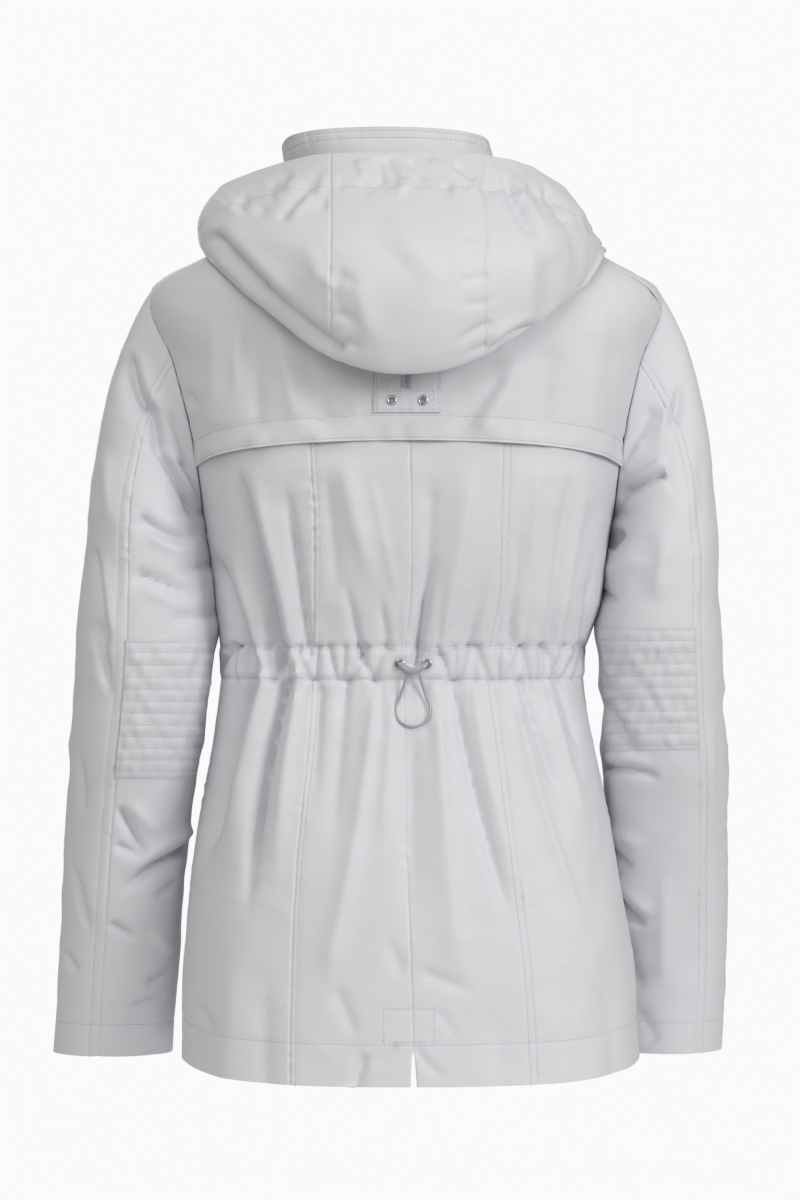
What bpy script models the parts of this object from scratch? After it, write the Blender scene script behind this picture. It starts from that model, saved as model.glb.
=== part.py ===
"""Rain jacket in its worn shape, with no wearer: light grey coated cloth, the hood down at the back.

Metres, +Z up. The wearer faces -Y, so the back of the jacket faces +Y and the wearer's left is +X.
The origin is the middle of the neckline, at the height where the shoulders meet the collar.
"""

import math
from collections import namedtuple

import bmesh
import bpy
from mathutils import Matrix, Vector
from mathutils.bvhtree import BVHTree

# Cloth and seams
CLOTH = 0.0012
DOUBLE_CLOTH = 0.0022
SEAM_GAP = 0.0004
HEM = -0.703

# Torso
SQUARENESS = 0.14
ARCH = 4.0
ARMHOLE_HEIGHT = -0.155
ARMHOLE_HALF_HEIGHT = 0.095
ARMHOLE_HALF_ANGLE = 19.0
SIDE_SEAM_ANGLE = 90.0
SHOULDER_SEAM_NECK_ANGLE = 40.0
SHOULDER_SEAM_TURN = 36.0
ZIP_EDGE = 0.004

# Yoke and its flap
FLAP_HEM_MIDDLE = -0.192
FLAP_HEM_TURN = 126.0
FLAP_STITCH_MIDDLE = -0.172
FLAP_STITCH_TURN = 108.0
FLAP_COVER = 0.0026
VENT_TOP = -0.678
VENT_OPEN = 0.0016

# Waist casing, its eyelets and the cord
CASING_TOP = -0.360
CASING_BOTTOM = -0.386
WAIST_EYELET_HEIGHT = -0.373
WAIST_EYELETS_APART = 0.022
WAIST_CORD_MIDDLE = -0.005
CORD_SLEEVE = 0.0042
CORD_LOOP = 0.0020

# Tab and short zip on the yoke
TAB_WIDTH = 0.054
TAB_TOP = -0.1495
TAB_BOTTOM = -0.1690
TAB_EYELETS_APART = 0.025
PATCH_TOP = -0.086
YOKE_ZIP_WIDTH = 0.008

# Eyelets: outer radius, hole radius, height of the flange
EYELET_RADIUS = 0.0043
EYELET_HOLE = 0.0024
EYELET_FLANGE = 0.0010

# Sleeves
CAP_DROP = Vector((0.56, 0.0, -0.83))
SLEEVE_FRONT_SEAM = 252.0
SLEEVE_SEAM_AT_ARMHOLE = 72.0
SLEEVE_ROWS = 16
UPPER_COLUMNS = 10
UNDER_COLUMNS = 10
PATCH_COLUMNS = 5

# Hood
HOOD_CLEARANCE = 0.0085
HOOD_SEAM_OUT = 0.0022

# Front zip
ZIP_TAPE = 0.011
ZIP_TAPE_THICK = 0.0008
ZIP_TEETH = 0.0025
ZIP_TEETH_OUT = 0.0006
ZIP_BEHIND = 0.0042
SLIDER_GAP = 0.00035

Ring = namedtuple("Ring", "height back_z front_z centre_x half_width back front")
TORSO = (
    Ring(0.000, 0.018, -0.045, 0.0050, 0.0840, 0.070, 0.086),
    Ring(-0.024, -0.012, -0.052, 0.0020, 0.1430, 0.094, 0.094),
    Ring(-0.060, -0.070, -0.085, 0.0000, 0.2120, 0.115, 0.110),
    Ring(-0.125, -0.128, -0.135, -0.0010, 0.2010, 0.125, 0.130),
    Ring(-0.190, -0.190, -0.190, -0.0020, 0.1850, 0.128, 0.140),
    Ring(-0.254, -0.254, -0.254, -0.0030, 0.1710, 0.123, 0.134),
    Ring(-0.320, -0.320, -0.320, -0.0025, 0.1635, 0.108, 0.116),
    Ring(-0.373, -0.373, -0.373, 0.0025, 0.1520, 0.095, 0.101),
    Ring(-0.438, -0.438, -0.438, 0.0015, 0.1600, 0.106, 0.108),
    Ring(-0.539, -0.539, -0.539, 0.0000, 0.1780, 0.123, 0.120),
    Ring(-0.625, -0.625, -0.625, -0.0030, 0.1890, 0.132, 0.127),
    Ring(HEM, -0.713, -0.711, -0.0050, 0.1925, 0.137, 0.131),
)

COLLAR = (
    Ring(0.000, 0.018, -0.045, 0.005, 0.0845, 0.0705, 0.0865),
    Ring(0.028, 0.043, -0.012, 0.010, 0.0870, 0.0700, 0.0895),
    Ring(0.057, 0.068, 0.020, 0.016, 0.0875, 0.0660, 0.0905),
)

# Seam between the centre back and the side back: angle from the centre back at each height
PrincessRow = namedtuple("PrincessRow", "height angle")
PRINCESS = (
    PrincessRow(-0.165, 23.0),
    PrincessRow(-0.373, 26.0),
    PrincessRow(HEM, 28.0),
)

# Largest folds: a soft ridge (or, with a negative depth, a trough) between two places on the torso
Fold = namedtuple("Fold", "angle_top top angle_bottom bottom width depth")
FOLDS = (
    Fold(58.0, -0.395, 62.0, -0.640, 0.017, 0.0075),
    Fold(47.0, -0.395, 49.0, -0.560, 0.011, -0.0050),
    Fold(36.0, -0.395, 39.0, -0.660, 0.014, 0.0060),
    Fold(15.0, -0.400, 21.0, -0.640, 0.017, 0.0050),
    Fold(-10.0, -0.400, -13.0, -0.650, 0.017, 0.0055),
    Fold(-30.0, -0.395, -38.0, -0.660, 0.018, 0.0060),
    Fold(-52.0, -0.395, -60.0, -0.640, 0.018, 0.0055),
    Fold(52.0, -0.215, 50.0, -0.352, 0.016, 0.0050),
    Fold(17.0, -0.215, 10.0, -0.352, 0.015, 0.0045),
    Fold(-24.0, -0.215, -9.0, -0.352, 0.015, 0.0045),
    Fold(-55.0, -0.215, -48.0, -0.352, 0.016, 0.0050),
    Fold(118.0, -0.300, 122.0, -0.620, 0.020, 0.0060),
    Fold(150.0, -0.320, 146.0, -0.640, 0.020, 0.0055),
    Fold(-120.0, -0.300, -124.0, -0.620, 0.020, 0.0060),
    Fold(-148.0, -0.320, -146.0, -0.640, 0.020, 0.0055),
)

# Sleeves below the cap: outward distance and forward place of the middle, and the half sizes
Arm = namedtuple("Arm", "height centre_x centre_y half_width half_depth")
SLEEVES = {
    "left": (
        Arm(-0.290, 0.2190, 0.000, 0.0510, 0.066),
        Arm(-0.354, 0.2180, 0.003, 0.0575, 0.063),
        Arm(-0.405, 0.2215, 0.002, 0.0568, 0.060),
        Arm(-0.455, 0.2275, -0.006, 0.0548, 0.057),
        Arm(-0.522, 0.2345, -0.024, 0.0528, 0.052),
        Arm(-0.623, 0.2430, -0.050, 0.0515, 0.047),
        Arm(-0.707, 0.2490, -0.066, 0.0510, 0.044),
    ),
    "right": (
        Arm(-0.290, 0.2180, 0.000, 0.0455, 0.066),
        Arm(-0.322, 0.2175, 0.000, 0.0470, 0.064),
        Arm(-0.354, 0.2150, 0.000, 0.0520, 0.062),
        Arm(-0.405, 0.2175, -0.008, 0.0515, 0.058),
        Arm(-0.455, 0.2200, -0.022, 0.0535, 0.056),
        Arm(-0.522, 0.2240, -0.052, 0.0525, 0.052),
        Arm(-0.623, 0.2285, -0.086, 0.0510, 0.048),
        Arm(-0.710, 0.2265, -0.106, 0.0505, 0.046),
    ),
}
SIDES = {"left": 1, "right": -1}
SLEEVE_BACK_SEAM = {"left": 78.0, "right": 63.0}

# Rows of the sleeves: the cap, the elbow patch and the cuff start and end on a row
SleeveRow = namedtuple("SleeveRow", "along left right")
SLEEVE_HEIGHTS = (
    SleeveRow(5 / 16, -0.290, -0.290),
    SleeveRow(6 / 16, -0.354, -0.344),
    SleeveRow(9 / 16, -0.468, -0.445),
    SleeveRow(1.0, -0.707, -0.710),
)
CAP_SHARE = SLEEVE_HEIGHTS[0].along
PATCH_FIRST = SLEEVE_HEIGHTS[1].along
PATCH_LAST = SLEEVE_HEIGHTS[2].along

# Hood, from the right front round the back to the left front: where each section leaves the neckline,
# then its fold, its crown and its rim
HoodRow = namedtuple("HoodRow", "place neck fold_x fold_y fold_z crown_x crown_y crown_z rim_x rim_y rim_z")
HOOD = (
    HoodRow(-6.0, -156.0, -0.042, -0.101, -0.064, -0.041, -0.102, -0.055, -0.034, -0.092, -0.040),
    HoodRow(-5.0, -138.0, -0.096, -0.084, -0.058, -0.097, -0.086, -0.042, -0.080, -0.082, -0.024),
    HoodRow(-4.0, -112.0, -0.150, -0.020, -0.038, -0.150, -0.020, -0.022, -0.116, -0.026, 0.000),
    HoodRow(-3.0, -85.0, -0.157, 0.062, -0.046, -0.153, 0.064, -0.016, -0.138, 0.038, 0.014),
    HoodRow(-2.0, -62.0, -0.124, 0.122, -0.084, -0.124, 0.130, -0.026, -0.106, 0.064, 0.035),
    HoodRow(-1.0, -41.0, -0.062, 0.160, -0.122, -0.062, 0.176, -0.046, -0.062, 0.092, 0.043),
    HoodRow(0.0, 0.0, 0.000, 0.172, -0.138, 0.000, 0.188, -0.050, 0.000, 0.100, 0.043),
    HoodRow(1.0, 41.0, 0.062, 0.160, -0.124, 0.062, 0.176, -0.046, 0.062, 0.092, 0.044),
    HoodRow(2.0, 62.0, 0.122, 0.122, -0.082, 0.126, 0.130, -0.024, 0.113, 0.064, 0.036),
    HoodRow(3.0, 85.0, 0.162, 0.062, -0.040, 0.170, 0.064, -0.010, 0.158, 0.038, 0.019),
    HoodRow(4.0, 112.0, 0.154, -0.020, -0.036, 0.158, -0.020, -0.016, 0.128, -0.026, 0.007),
    HoodRow(5.0, 138.0, 0.104, -0.084, -0.058, 0.105, -0.086, -0.042, 0.088, -0.082, -0.022),
    HoodRow(6.0, 156.0, 0.052, -0.101, -0.064, 0.051, -0.102, -0.055, 0.044, -0.092, -0.040),
)

COLOURS = {
    "cloth": (0.62, 0.62, 0.645, 1.0),
    "patch": (0.58, 0.58, 0.60, 1.0),
    "metal": (0.30, 0.31, 0.33, 1.0),
    "zip": (0.50, 0.50, 0.52, 1.0),
    "cord": (0.55, 0.55, 0.57, 1.0),
}


# Tables and curves

def row_at(rows, at):
    """The row of a table at any value of its first column, on a smooth curve through all the rows."""
    keys = [row[0] for row in rows]
    falling = keys[0] > keys[-1]
    index = 0
    while index < len(rows) - 2 and (at < keys[index + 1] if falling else at > keys[index + 1]):
        index += 1
    before = rows[max(index - 1, 0)]
    low = rows[index]
    high = rows[index + 1]
    after = rows[min(index + 2, len(rows) - 1)]
    span = high[0] - low[0]
    t = min(max((at - low[0]) / span, 0.0), 1.0)
    values = []
    for a, b, c, d in zip(before, low, high, after):
        slope_low = (c - a) / (high[0] - before[0]) * span
        slope_high = (d - b) / (after[0] - low[0]) * span
        values.append((2 * t ** 3 - 3 * t ** 2 + 1) * b + (t ** 3 - 2 * t ** 2 + t) * slope_low
                      + (3 * t ** 2 - 2 * t ** 3) * c + (t ** 3 - t ** 2) * slope_high)
    values[0] = at
    return type(low)(*values)


def ease(t):
    """Soft step from 0 to 1."""
    t = min(max(t, 0.0), 1.0)
    return t * t * (3 - 2 * t)


def mix(a, b, t):
    return a + (b - a) * t


def curve_through(points, t):
    """A place on the smooth curve through a few points, t from 0 to 1."""
    last = len(points) - 1
    place = min(max(t, 0.0), 1.0) * last
    index = min(int(place), last - 1)
    f = place - index
    a = points[max(index - 1, 0)]
    b = points[index]
    c = points[index + 1]
    d = points[min(index + 2, last)]
    return 0.5 * (2 * b + (c - a) * f + (2 * a - 5 * b + 4 * c - d) * f ** 2 + (3 * b - a - 3 * c + d) * f ** 3)


# Torso form

def on_ring(rows, angle, height):
    """A place on a ring: the angle runs from the centre back (0) to the wearer's left and the front (180)."""
    ring = row_at(rows, height)
    s = math.sin(math.radians(angle))
    c = math.cos(math.radians(angle))
    depth = ring.back if c > 0 else ring.front
    end_z = ring.back_z if c > 0 else ring.front_z
    x = ring.centre_x + ring.half_width * s * (1 + SQUARENESS * c * c)
    y = depth * c * (1 + SQUARENESS * s * s)
    z = height + (end_z - height) * (1 - abs(s) ** ARCH)
    return Vector((x, y, z))


def ring_normal(rows, angle, height):
    """Outward direction of the ring's surface, folds left out."""
    round_it = on_ring(rows, angle + 0.5, height) - on_ring(rows, angle - 0.5, height)
    up_it = on_ring(rows, angle, height + 0.001) - on_ring(rows, angle, height - 0.001)
    return up_it.cross(round_it).normalized()


def fold_out(angle, height):
    """How far the folds move the cloth out at a place on the torso."""
    total = 0.0
    for fold in FOLDS:
        t = (height - fold.top) / (fold.bottom - fold.top)
        if not 0.0 < t < 1.0:
            continue
        middle = mix(fold.angle_top, fold.angle_bottom, t)
        across = math.radians(angle - middle) * 0.16
        ends = ease(t / 0.3) * ease((1.0 - t) / 0.4)
        total += fold.depth * ends * math.exp(-(across / fold.width) ** 2)
    return total


def torso(angle, height, out=0.0):
    """A place on the jacket's body, moved out from the cloth's outer face."""
    base = on_ring(TORSO, angle, height)
    return base + ring_normal(TORSO, angle, height) * (fold_out(angle, height) + out)


def armhole(turn):
    """Angle and height on the armhole: turn 0 at the shoulder, 90 at the back, 180 at the underarm."""
    angle = SIDE_SEAM_ANGLE - ARMHOLE_HALF_ANGLE * math.sin(math.radians(turn))
    height = ARMHOLE_HEIGHT + ARMHOLE_HALF_HEIGHT * math.cos(math.radians(turn))
    return angle, height


# Walls

OUTER_FACES = {}


def make_object(name, mesh, colour):
    material = bpy.data.materials.new(name)
    material.use_nodes = True
    shader = material.node_tree.nodes["Principled BSDF"]
    shader.inputs["Base Color"].default_value = COLOURS[colour]
    shader.inputs["Roughness"].default_value = 0.3 if colour == "metal" else 0.6
    shader.inputs["Metallic"].default_value = 1.0 if colour == "metal" else 0.0
    mesh.materials.append(material)
    made = bpy.data.objects.new(name, mesh)
    bpy.context.scene.collection.objects.link(made)
    return made


def finish_mesh(name, points, faces, colour):
    mesh = bpy.data.meshes.new(name)
    mesh.from_pydata([tuple(point) for point in points], [], faces)
    shaped = bmesh.new()
    shaped.from_mesh(mesh)
    bmesh.ops.recalc_face_normals(shaped, faces=shaped.faces[:])
    shaped.to_mesh(mesh)
    shaped.free()
    return make_object(name, mesh, colour)


def wall(name, at, columns, rows, thickness=CLOTH, colour="cloth", facing=1, mitre=None, inset=SEAM_GAP / 2):
    """A closed cloth wall: its outer face is at(u, v), and its edges stay clear of the next piece."""
    step = 0.004
    grid = []
    normals = []
    for j in range(rows + 1):
        line = []
        directions = []
        for i in range(columns + 1):
            u = i / columns
            v = j / rows
            across = at(u + step, v) - at(u - step, v)
            along = at(u, v + step) - at(u, v - step)
            direction = across.cross(along).normalized() * facing
            if mitre is not None:
                direction = mitre(u, v, direction)
            line.append(at(u, v))
            directions.append(direction)
        grid.append(line)
        normals.append(directions)
    outer = [[point.copy() for point in line] for line in grid]
    for j in range(rows + 1):
        outer[j][0] += (grid[j][1] - grid[j][0]).normalized() * inset
        outer[j][columns] += (grid[j][columns - 1] - grid[j][columns]).normalized() * inset
    for i in range(columns + 1):
        outer[0][i] += (grid[1][i] - grid[0][i]).normalized() * inset
        outer[rows][i] += (grid[rows - 1][i] - grid[rows][i]).normalized() * inset
    points = [point for line in outer for point in line]
    for j in range(rows + 1):
        for i in range(columns + 1):
            points.append(outer[j][i] - normals[j][i] * thickness)
    across_count = columns + 1
    inner = across_count * (rows + 1)
    faces = []
    OUTER_FACES[name] = []
    for j in range(rows):
        for i in range(columns):
            a = j * across_count + i
            faces.append((a, a + 1, a + across_count + 1, a + across_count))
            OUTER_FACES[name].append([points[k] for k in faces[-1]])
            b = a + inner
            faces.append((b, b + across_count, b + across_count + 1, b + 1))
    rim = [i for i in range(columns + 1)]
    rim += [j * across_count + columns for j in range(1, rows + 1)]
    rim += [rows * across_count + i for i in range(columns - 1, -1, -1)]
    rim += [j * across_count for j in range(rows - 1, 0, -1)]
    for k, a in enumerate(rim):
        b = rim[(k + 1) % len(rim)]
        faces.append((a, a + inner, b + inner, b))
    return finish_mesh(name, points, faces, colour)


def between_edges(first, last, out=lambda v: 0.0):
    """A patch of the torso between two edges, each a function of v that gives an angle and a height."""
    def at(u, v):
        angle_a, height_a = first(v)
        angle_b, height_b = last(v)
        height = mix(height_a, height_b, u)
        return torso(mix(angle_a, angle_b, u), height, out(v))
    return at


def mirrored(edge):
    return lambda v: (-edge(v)[0], edge(v)[1])


# Edges of the torso panels, for the wearer's left

# Rows of the back panels: v runs from the flap's stitching, past its hem and the casing, to the hem.
# The centre and princess edges take a height; the side edge takes a turn of the armhole, then a height.
BackRow = namedtuple("BackRow", "v centre princess side_turn side_height")
UNDERARM = ARMHOLE_HEIGHT - ARMHOLE_HALF_HEIGHT
BACK_ROWS = (
    BackRow(0 / 18, FLAP_STITCH_MIDDLE, FLAP_STITCH_MIDDLE - 0.001, FLAP_STITCH_TURN, None),
    BackRow(1 / 18, FLAP_HEM_MIDDLE - 0.002, FLAP_HEM_MIDDLE - 0.004, FLAP_HEM_TURN, None),
    BackRow(2 / 18, FLAP_HEM_MIDDLE - 0.024, FLAP_HEM_MIDDLE - 0.026, 144.0, None),
    BackRow(4 / 18, UNDERARM - 0.014, UNDERARM - 0.014, 180.0, UNDERARM),
    BackRow(8 / 18, CASING_TOP, CASING_TOP, 180.0, CASING_TOP),
    BackRow(10 / 18, CASING_BOTTOM, CASING_BOTTOM, 180.0, CASING_BOTTOM),
    BackRow(1.0, HEM, HEM, 180.0, HEM),
)


def back_rows_at(v):
    """The two rows of the table that v lies between, and how far it is from the first to the second."""
    index = 0
    while index < len(BACK_ROWS) - 2 and v > BACK_ROWS[index + 1].v:
        index += 1
    low = BACK_ROWS[index]
    high = BACK_ROWS[index + 1]
    return low, high, (v - low.v) / (high.v - low.v)


def centre_back_edge(v):
    low, high, t = back_rows_at(v)
    height = mix(low.centre, high.centre, t)
    opening = VENT_OPEN * ease((VENT_TOP - height) / (VENT_TOP - HEM))
    return math.degrees(opening / 0.22), height


def princess_edge(v):
    low, high, t = back_rows_at(v)
    height = mix(low.princess, high.princess, t)
    return row_at(PRINCESS, height).angle, height


def side_back_turn(v):
    low, high, t = back_rows_at(v)
    return mix(low.side_turn, high.side_turn, t)


def side_back_edge(v):
    """Down the back of the armhole from under the flap, then down the side seam."""
    low, high, t = back_rows_at(v)
    if low.side_height is None:
        return armhole(side_back_turn(v))
    return SIDE_SEAM_ANGLE, mix(low.side_height, high.side_height, t)


def under_flap(v):
    """The back panels lie under the flap at their top and come level with it lower down."""
    return -FLAP_COVER * (1.0 - ease((v - BACK_ROWS[1].v) / (BACK_ROWS[2].v - BACK_ROWS[1].v)))


FRONT_COLUMNS = 8
FRONT_ROWS = 20
FRONT_ARMHOLE_SHARE = 12 / FRONT_ROWS
FRONT_NECK_SHARE = 7 / FRONT_ROWS


def front_turn(v):
    return mix(SHOULDER_SEAM_TURN, -180.0, v / FRONT_ARMHOLE_SHARE)


def front_side_edge(v):
    """Over the shoulder and down the front of the armhole, then down the side seam."""
    if v < FRONT_ARMHOLE_SHARE:
        return armhole(front_turn(v))
    return SIDE_SEAM_ANGLE, mix(UNDERARM, HEM, (v - FRONT_ARMHOLE_SHARE) / (1 - FRONT_ARMHOLE_SHARE))


def front_zip_edge(v):
    """Round the neckline from the back of the shoulder, then down beside the zip."""
    if v < FRONT_NECK_SHARE:
        t = v / FRONT_NECK_SHARE
        last = 180.0 - math.degrees(ZIP_EDGE / (row_at(TORSO, 0.0).half_width * (1 + SQUARENESS)))
        return mix(SHOULDER_SEAM_NECK_ANGLE, last, t), 0.0
    height = mix(0.0, HEM, (v - FRONT_NECK_SHARE) / (1 - FRONT_NECK_SHARE))
    half_width = row_at(TORSO, height).half_width
    return 180.0 - math.degrees(ZIP_EDGE / (half_width * (1 + SQUARENESS))), height


YOKE_COLUMNS = 14
YOKE_ROWS = FRONT_COLUMNS + 5
SHOULDER_SHARE = FRONT_COLUMNS / YOKE_ROWS


def yoke_turn(v):
    return mix(SHOULDER_SEAM_TURN, FLAP_HEM_TURN, (v - SHOULDER_SHARE) / (1 - SHOULDER_SHARE))


def yoke_edge(v):
    """Along the shoulder seam from the neck, then down the back of the armhole to the flap's hem."""
    if v < SHOULDER_SHARE:
        t = v / SHOULDER_SHARE
        angle, height = armhole(SHOULDER_SEAM_TURN)
        return mix(SHOULDER_SEAM_NECK_ANGLE, angle, t), mix(0.0, height, t)
    return armhole(yoke_turn(v))


def yoke_at(u, v):
    across = 2.0 * u - 1.0
    angle, edge_height = yoke_edge(min(max(v, 0.0), 1.0))
    middle_height = mix(0.0, FLAP_HEM_MIDDLE, v)
    height = mix(middle_height, edge_height, abs(across) ** 2)
    return torso(across * angle, height)


# Sleeve form

def arm_ring(side, turn, height):
    arm = row_at(SLEEVES[side], height)
    x = arm.centre_x + arm.half_width * math.cos(math.radians(turn))
    y = arm.centre_y + arm.half_depth * math.sin(math.radians(turn))
    return Vector((x * SIDES[side], y, height))


def sleeve_height(side, along):
    index = 0
    while index < len(SLEEVE_HEIGHTS) - 2 and along > SLEEVE_HEIGHTS[index + 1].along:
        index += 1
    low = SLEEVE_HEIGHTS[index]
    high = SLEEVE_HEIGHTS[index + 1]
    t = (along - low.along) / (high.along - low.along)
    return mix(getattr(low, side), getattr(high, side), t)


def sleeve(side, turn, along):
    """A place on a sleeve: turn 0 is outside, 90 the back; along 0 is the armhole and 1 the cuff."""
    top = SLEEVES[side][0].height
    if along >= CAP_SHARE:
        return arm_ring(side, turn, sleeve_height(side, along))
    t = along / CAP_SHARE
    angle, height = armhole(turn)
    start = torso(angle * SIDES[side], height)
    end = arm_ring(side, turn, top)
    reach = 0.32 * (end - start).length
    leave = Vector((CAP_DROP.x * SIDES[side], 0.0, CAP_DROP.z))
    arrive = (arm_ring(side, turn, top - 0.01) - end).normalized()
    a = start + leave * reach
    b = end - arrive * reach
    return start * (1 - t) ** 3 + a * (3 * t * (1 - t) ** 2) + b * (3 * t * t * (1 - t)) + end * t ** 3


def sleeve_seam(side, along):
    """Turn of the back seam, which runs from the back of the armhole to the outside of the cuff."""
    return mix(SLEEVE_SEAM_AT_ARMHOLE, SLEEVE_BACK_SEAM[side], ease(along / CAP_SHARE))


def sleeve_normal(side, turn, along):
    round_it = sleeve(side, turn + 0.5, along) - sleeve(side, turn - 0.5, along)
    down_it = sleeve(side, turn, along + 0.002) - sleeve(side, turn, along - 0.002)
    return round_it.cross(down_it).normalized() * -SIDES[side]


def armhole_mitre(side, turn, own):
    """Where the sleeve turns down from the body, both walls share one direction, so that they meet."""
    angle, height = armhole(turn)
    body = ring_normal(TORSO, angle * SIDES[side], height)
    arm = sleeve_normal(side, turn, 0.004)
    if body.dot(arm) <= 0.0:
        return own
    shared = (body + arm).normalized()
    return shared / shared.dot(arm)


# Torso panels

CENTRE_COLUMNS = 5
SIDE_COLUMNS = 8
BACK_PANEL_ROWS = 18


def build_torso():
    for side, sign in SIDES.items():
        edge = (lambda e: e) if sign > 0 else mirrored
        centre_at = between_edges(edge(centre_back_edge), edge(princess_edge), under_flap)
        wall(f"back_centre_{side}", centre_at, CENTRE_COLUMNS, BACK_PANEL_ROWS, facing=sign)

        def back_mitre(u, v, own, side=side):
            if u > 0.999 and side_back_turn(v) < 180.0:
                return armhole_mitre(side, side_back_turn(v), own)
            return own

        side_at = between_edges(edge(princess_edge), edge(side_back_edge), under_flap)
        wall(f"back_side_{side}", side_at, SIDE_COLUMNS, BACK_PANEL_ROWS, facing=sign, mitre=back_mitre)

        def front_mitre(u, v, own, side=side):
            if u < 0.001 and v < FRONT_ARMHOLE_SHARE:
                return armhole_mitre(side, front_turn(v), own)
            return own

        wall(f"front_{side}", between_edges(edge(front_side_edge), edge(front_zip_edge)), FRONT_COLUMNS, FRONT_ROWS,
             facing=sign, mitre=front_mitre)

    def yoke_mitre(u, v, own):
        if (u < 0.001 or u > 0.999) and v > SHOULDER_SHARE:
            return armhole_mitre("left" if u > 0.5 else "right", yoke_turn(v), own)
        return own

    wall("back_yoke", yoke_at, YOKE_COLUMNS, YOKE_ROWS, mitre=yoke_mitre)


# Collar and hood

COLLAR_BACK_COLUMNS = YOKE_COLUMNS // 2
COLLAR_FRONT_COLUMNS = round(FRONT_NECK_SHARE * FRONT_ROWS)


def collar_angle(u):
    """Angle round the collar: its columns are those of the panels at the neckline."""
    columns = COLLAR_BACK_COLUMNS + COLLAR_FRONT_COLUMNS
    place = abs(mix(-columns, columns, u))
    last = front_zip_edge(FRONT_NECK_SHARE)[0]
    if place < COLLAR_BACK_COLUMNS:
        angle = SHOULDER_SEAM_NECK_ANGLE * place / COLLAR_BACK_COLUMNS
    else:
        angle = mix(SHOULDER_SEAM_NECK_ANGLE, last, (place - COLLAR_BACK_COLUMNS) / COLLAR_FRONT_COLUMNS)
    return math.copysign(angle, u - 0.5)


def on_collar(angle, height):
    """A place on the collar: its foot follows the neckline, and its top edge slopes evenly to the front."""
    ring = row_at(COLLAR, height)
    point = on_ring(COLLAR, angle, height)
    c = math.cos(math.radians(angle))
    end_z = ring.back_z if c > 0 else ring.front_z
    even_z = height + (end_z - height) * abs(c) ** (0.6 if c > 0 else 1.3)
    point.z = mix(point.z, even_z, height / COLLAR[-1].height) + SEAM_GAP
    return point


def collar_at(u, v):
    return on_collar(collar_angle(u), mix(0.0, COLLAR[-1].height, v))


def surface_of(names):
    """The outer faces of some pieces as one surface, to keep other pieces clear of them."""
    points = []
    faces = []
    for name in names:
        for corners in OUTER_FACES[name]:
            faces.append(tuple(range(len(points), len(points) + len(corners))))
            points += corners
    return BVHTree.FromPolygons(points, faces)


def lifted(tree, point, clearance):
    """The point itself, or the nearest place that is clear of the body."""
    near, normal, _, _ = tree.find_nearest(point)
    outward = Vector((near.x, near.y, 0.02))
    if normal.dot(outward) < 0:
        normal = -normal
    height = (point - near).dot(normal)
    if height >= clearance:
        return point
    return point + normal * (clearance - height)


def hood_section(row):
    neck = on_ring(TORSO, row.neck, 0.0)
    outward = Vector((neck.x, neck.y, 0.0)).normalized()
    start = neck + outward * HOOD_SEAM_OUT + Vector((0.0, 0.0, 0.004))
    fold = Vector((row.fold_x, row.fold_y, row.fold_z))
    crown = Vector((row.crown_x, row.crown_y, row.crown_z))
    rim = Vector((row.rim_x, row.rim_y, row.rim_z))
    under = start.lerp(fold, 0.55)
    return start, under, fold, crown, rim


def make_hood_at(tree, first, last):
    def at(u, v):
        row = row_at(HOOD, mix(first, last, u))
        point = curve_through(hood_section(row), v)
        clearance = mix(0.0035, HOOD_CLEARANCE, ease(v / 0.15))
        return lifted(tree, point, clearance)
    return at


def build_collar_and_hood(tree):
    wall("collar", collar_at, 2 * (COLLAR_BACK_COLUMNS + COLLAR_FRONT_COLUMNS), 2, thickness=DOUBLE_CLOTH, facing=-1)
    wall("hood_centre", make_hood_at(tree, -1.0, 1.0), 4, 13, facing=-1)
    wall("hood_left", make_hood_at(tree, 1.0, 6.0), 10, 13, facing=-1)
    wall("hood_right", make_hood_at(tree, -6.0, -1.0), 10, 13, facing=-1)


# Sleeves

def build_sleeves():
    for side, sign in SIDES.items():
        def upper_at(u, v, side=side):
            seam = sleeve_seam(side, v)
            return sleeve(side, mix(SLEEVE_FRONT_SEAM - 360.0, seam, u), v)

        def under_at(u, v, side=side):
            seam = sleeve_seam(side, v)
            return sleeve(side, mix(seam, SLEEVE_FRONT_SEAM, u), v)

        def upper_mitre(u, v, own, side=side):
            if v > 0.001:
                return own
            return armhole_mitre(side, mix(SLEEVE_FRONT_SEAM - 360.0, sleeve_seam(side, 0.0), u), own)

        def under_mitre(u, v, own, side=side):
            if v > 0.001:
                return own
            return armhole_mitre(side, mix(sleeve_seam(side, 0.0), SLEEVE_FRONT_SEAM, u), own)

        wall(f"sleeve_upper_{side}", upper_at, UPPER_COLUMNS, SLEEVE_ROWS, facing=-sign, mitre=upper_mitre,
             inset=0.0005)
        wall(f"sleeve_under_{side}", under_at, UNDER_COLUMNS, SLEEVE_ROWS, facing=-sign, mitre=under_mitre,
             inset=0.0005)

        def patch_at(u, v, side=side):
            along = mix(PATCH_FIRST, PATCH_LAST, v)
            share = u * PATCH_COLUMNS / UNDER_COLUMNS
            turn = mix(sleeve_seam(side, along), SLEEVE_FRONT_SEAM, share)
            out = CLOTH + SEAM_GAP
            return sleeve(side, turn, along) + sleeve_normal(side, turn, along) * out

        patch_rows = round((PATCH_LAST - PATCH_FIRST) * SLEEVE_ROWS)
        wall(f"elbow_patch_{side}", patch_at, PATCH_COLUMNS, patch_rows, colour="patch", facing=-sign, inset=0.0)


# Trim on the back

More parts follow.
